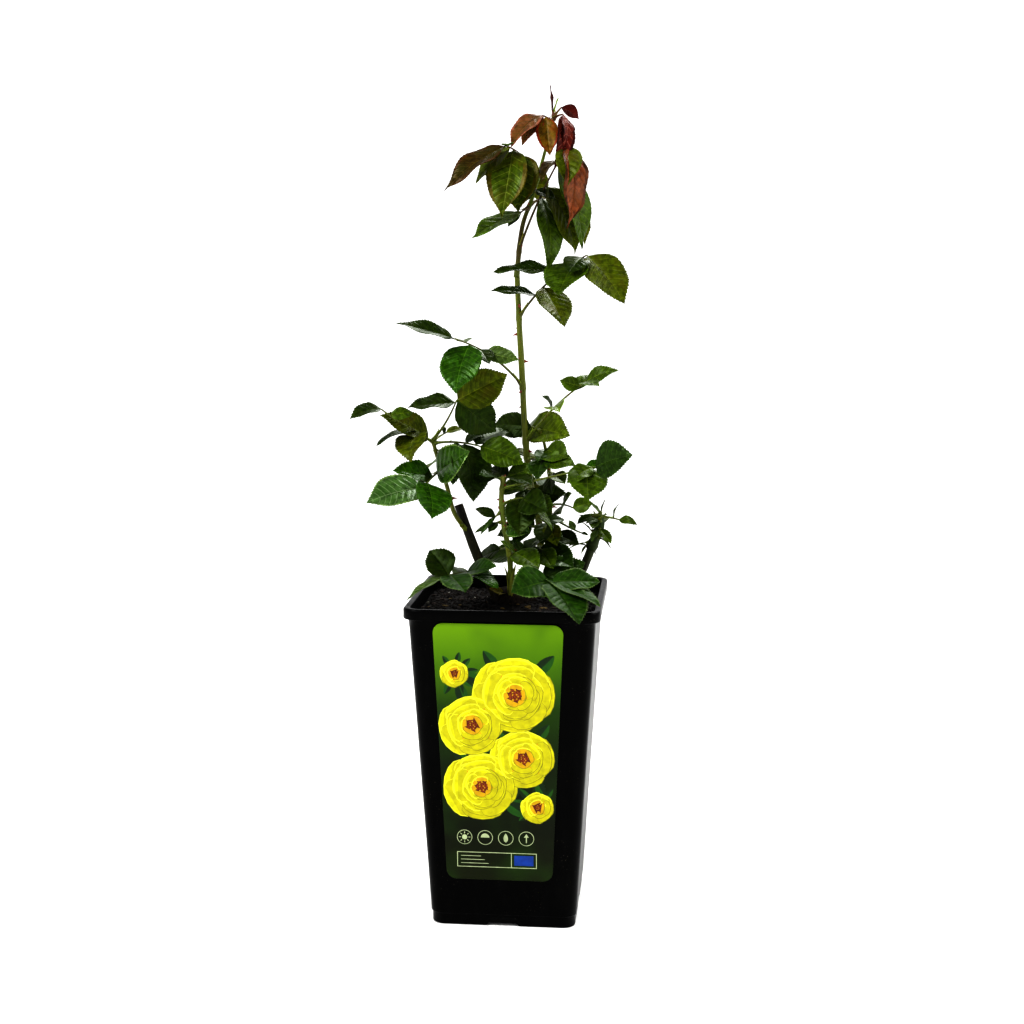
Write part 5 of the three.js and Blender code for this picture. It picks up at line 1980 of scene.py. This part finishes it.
@dataclass(frozen=True)
class Softbox:
    """A large soft light: where it stands, what it looks at, its size and its power."""

    name: str
    place: Point
    aim: Point
    size: Pair
    power: float

    def build(self) -> None:
        """Makes the light."""
        lamp = bpy.data.lights.new(self.name, "AREA")
        lamp.shape = "RECTANGLE"
        lamp.size, lamp.size_y = self.size
        lamp.energy = self.power
        stand = bpy.data.objects.new(self.name, lamp)
        stand.location = self.place
        aim = Vector(self.aim) - Vector(self.place)
        stand.rotation_euler = aim.to_track_quat("-Z", "Y").to_euler()
        bpy.context.scene.collection.objects.link(stand)


@dataclass(frozen=True)
class Studio:
    """The camera, the pale floor, the white surroundings and the soft lights, in metres."""

    camera_place: Point = (0.1260, -1.2714, 0.5105)
    camera_pitch: float = 8.51
    camera_turn: float = 5.58
    lens: float = 57.66
    floor_reach: float = 2.2
    world: float = 1.05
    ceiling: float = 0.35
    lights: tuple[Softbox, ...] = (
        Softbox("key", (-1.3, -1.3, 2.1), (0, 0, 0.35), (1.0, 1.0), 60),
        Softbox("side", (1.8, -0.2, 1.2), (0, 0, 0.3), (0.6, 1.4), 16),
        Softbox("back", (0.5, 1.5, 2.0), (0, 0, 0.4), (1.4, 1.0), 40))

    def build(self) -> None:
        """Makes everything in the studio."""
        camera = bpy.data.cameras.new("camera")
        camera.lens = self.lens
        camera.sensor_width = 36
        camera.clip_start, camera.clip_end = 0.05, 50
        stand = bpy.data.objects.new("camera", camera)
        stand.location = self.camera_place
        stand.rotation_euler = (math.radians(90 - self.camera_pitch), 0,
                                math.radians(self.camera_turn))
        bpy.context.scene.collection.objects.link(stand)
        bpy.context.scene.camera = stand
        for light in self.lights:
            light.build()
        self._build_floor()
        self._build_surroundings()
        bpy.context.scene.view_settings.view_transform = "Standard"
        bpy.context.scene.view_settings.look = "High Contrast"

    def _build_surroundings(self) -> None:
        """Makes the white walls and the darker ceiling that surround the floor."""
        world = bpy.data.worlds.new("studio")
        world.use_nodes = True
        nodes, links = world.node_tree.nodes, world.node_tree.links
        way = nodes.new("ShaderNodeTexCoord")
        split = nodes.new("ShaderNodeSeparateXYZ")
        links.new(way.outputs["Generated"], split.inputs["Vector"])
        ramp = nodes.new("ShaderNodeValToRGB")
        links.new(split.outputs["Z"], ramp.inputs["Fac"])
        stops = ramp.color_ramp.elements
        stops[0].position, stops[1].position = 0.22, 0.5
        stops[0].color = (1, 1, 1, 1)
        stops[1].color = (*[self.ceiling] * 3, 1)
        background = nodes["Background"]
        links.new(ramp.outputs["Color"], background.inputs["Color"])
        background.inputs["Strength"].default_value = self.world
        bpy.context.scene.world = world

    def _build_floor(self) -> None:
        """Makes the round floor."""
        rim = [(*polar((0, 0), self.floor_reach, angle), 0) for angle in full_turn(64)]
        mesh = bpy.data.meshes.new("floor")
        mesh.from_pydata(rim, [], [list(range(len(rim)))])
        shader = Shader("floor", 0.7, specular=0.1)
        shader.colour(shader.mix(shader.noise(400), paint(0xf8f8f6), paint(0xf4f4f2)))
        mesh.materials.append(shader.material)
        floor = bpy.data.objects.new("floor", mesh)
        bpy.context.scene.collection.objects.link(floor)


# ---- the whole plant


def build_canes(barks: dict[str, Material], wood: Material, pith: Material) -> None:
    """Makes the skins of all the canes and shoots.

    Args:
        barks: The materials of their skins.
        wood: The material of the ring of wood at a cut end.
        pith: The material of the core at a cut end.
    """
    for seed, (name, limb) in enumerate(CANES.items()):
        knots = tuple(leaf.at for cane, leaf in CANE_LEAVES.values() if cane == name)
        is_old = name.endswith("stub")
        skin = CaneSkin(name=f"{name}_skin", limb=limb, slot="old_bark" if is_old else "green_bark",
                        replaced=(name,), knots=knots, seed=seed, is_cut=name in CUT_CANES,
                        rib_height=0.03 if is_old else 0.015)
        skin.build(barks[BARK_OF.get(name, "young_bark")], wood, pith)
    for seed, (name, limb) in enumerate(SHOOTS.items()):
        knots = tuple(leaf.at for leaf in MASS_LEAVES[name])
        skin = CaneSkin(name=f"{name}_shoot", limb=limb, slot="green_bark", replaced=(name,),
                        knots=(0, *knots), seed=20 + seed, sides=20, rib_height=0.012, root=3)
        skin.build(barks[BARK_OF.get(name, "young_bark")], wood, pith)


BARKS = (
    Bark("young_bark", ((245, 0x4c5210), (330, 0x585e1a), (420, 0x505616), (510, 0x525a1a)),
         0x343c10, 0x6a4a20),
    Bark("pale_bark", ((245, 0x3e3c10), (262, 0x4c5414), (320, 0x586420), (350, 0x50541a)),
         0x3a4412, 0x5c4a20),
    Bark("shoot_bark", ((500, 0x4c5a1a), (518, 0x46401a), (545, 0x3c3010), (558, 0x4a5418),
                        (585, 0x5a6a20), (630, 0x64742a)), 0x444818, 0x5c3418, 0.38, 0.08),
    Bark("old_bark", ((245, 0x2e280f), (268, 0x282810), (300, 0x1b1a0b), (326, 0x0d0b07)),
         0x363014, 0x484030, 0.6, 0.4),
    Bark("stub_bark", ((245, 0x1c180c), (275, 0x262812), (292, 0x26320c), (320, 0x243a0c)),
         0x1a1a0a, 0x40381e, 0.55, 0.3),
    Bark("knuckle_bark", ((240, 0x0e0b07), (252, 0x1e160d), (262, 0x2a2012)),
         0x0e0a06, 0x4a3e2c, 0.9, 0.9),
    Bark("prickle", ((245, 0x5a1c14), (640, 0x7a2818)), 0x3c100c, 0x8a5a3a, 0.35, 0.03),
    Bark("dry_scale", ((245, 0x62601e), (262, 0x727628), (300, 0x667226)), 0x4a3c16, 0x3a2a12,
         0.6, 0.12),
    Bark("bud", ((245, 0x5c2a18), (640, 0x7a3420)), 0x4a5a1c, 0x6a3a20, 0.4, 0.03),
    Bark("stalk", ((245, 0x4a561c), (400, 0x505a1e), (520, 0x3e381a), (640, 0x502c18)),
         0x3e2814, 0x5a3a1c, 0.4, 0.04),
    Bark("stipule", ((245, 0x6a7a2a), (400, 0x74842e), (640, 0x76602c)), 0x55601e, 0x7a5a30,
         0.45, 0.04),
)
BARK_OF = {"left_stub": "old_bark", "right_stub": "stub_bark", "crown": "shoot_bark",
           "bud_tip": "stub_bark", "front_cane": "pale_bark"}
CUT_CANES = ("left_stub", "front_cane")

FOLIAGE = (
    Foliage("crown", "young_leaves", shoots=("crown",), seed=1, blade=BladeRule(
        swell=0.6, taper=0.95, tooth_depth=0.35, vein_gap=6.5, edge_bands=2, drip=0.6)),
    Foliage("upper", "green_leaves", seed=2, single=(
        "upper_right_leaf", "middle_left_leaf", "middle_right_leaf", "middle_back_leaf")),
    Foliage("left_spray", "green_leaves", shoots=("left_tip",), seed=3),
    Foliage("right_spray", "green_leaves", shoots=("right_tip",), seed=4, single=(
        "right_upper_leaf", "right_small_leaf", "right_thin_leaf", "right_back_leaf",
        "right_low_leaf", "low_back_leaf")),
    Foliage("front", "green_leaves", seed=5, single=(
        "front_right_leaf", "front_top_leaf", "front_middle_leaf", "centre_leaf",
        "centre_low_leaf", "front_striped_leaf", "front_left_leaf", "foot_front_leaf",
        "foot_back_leaf")),
    Foliage("rim", "green_leaves", seed=6, single=("rim_right_leaf", "rim_left_leaf"),
            blade=BladeRule(tooth_depth=1.0, drip=0.3, quilt=0.009)),
    Foliage("bud_spray", "young_leaves", shoots=("bud_tip",), seed=7),
)


def main() -> None:
    """Builds every piece in order."""
    logging.basicConfig(level=logging.INFO, format="%(message)s")
    Studio().build()
    NurseryPot().build(PotPlastic().build())
    label = PictureLabel()
    label.build(LabelFilm(label.bottom, label.top).build())
    CompostBed().build(
        Granular("compost", 0x060504, 0x130d08, 2.4, 0.95, 0.7).build(),
        Granular("bark_chip", 0x2c1c10, 0x1a110a, 1.4, 0.8).build(),
        Granular("white_lump", 0xd0ccc0, 0x98948a, 1.2).build(),
        Granular("grey_grit", 0x5a5650, 0x24221f, 0.8).build(),
        Granular("dry_litter", 0x5a4a20, 0x2e2410, 1.6).build())
    barks = {bark.name: bark.build() for bark in BARKS}
    GraftKnuckle().build(barks["knuckle_bark"])
    wood = Granular("cut_wood", 0x5e4422, 0x3c2814, 0.8, 0.8, 0.1).build()
    pith = Granular("pith", 0x4e3a22, 0x32220f, 0.6, 0.9, 0.1).build()
    build_canes(barks, wood, pith)
    Prickles().build(barks["prickle"])
    FootScales().build(barks["dry_scale"])
    Buds().build(barks["bud"])
    for part in FOLIAGE:
        part.build(barks["stalk"], barks["stipule"])


if __name__ == "__main__":
    main()
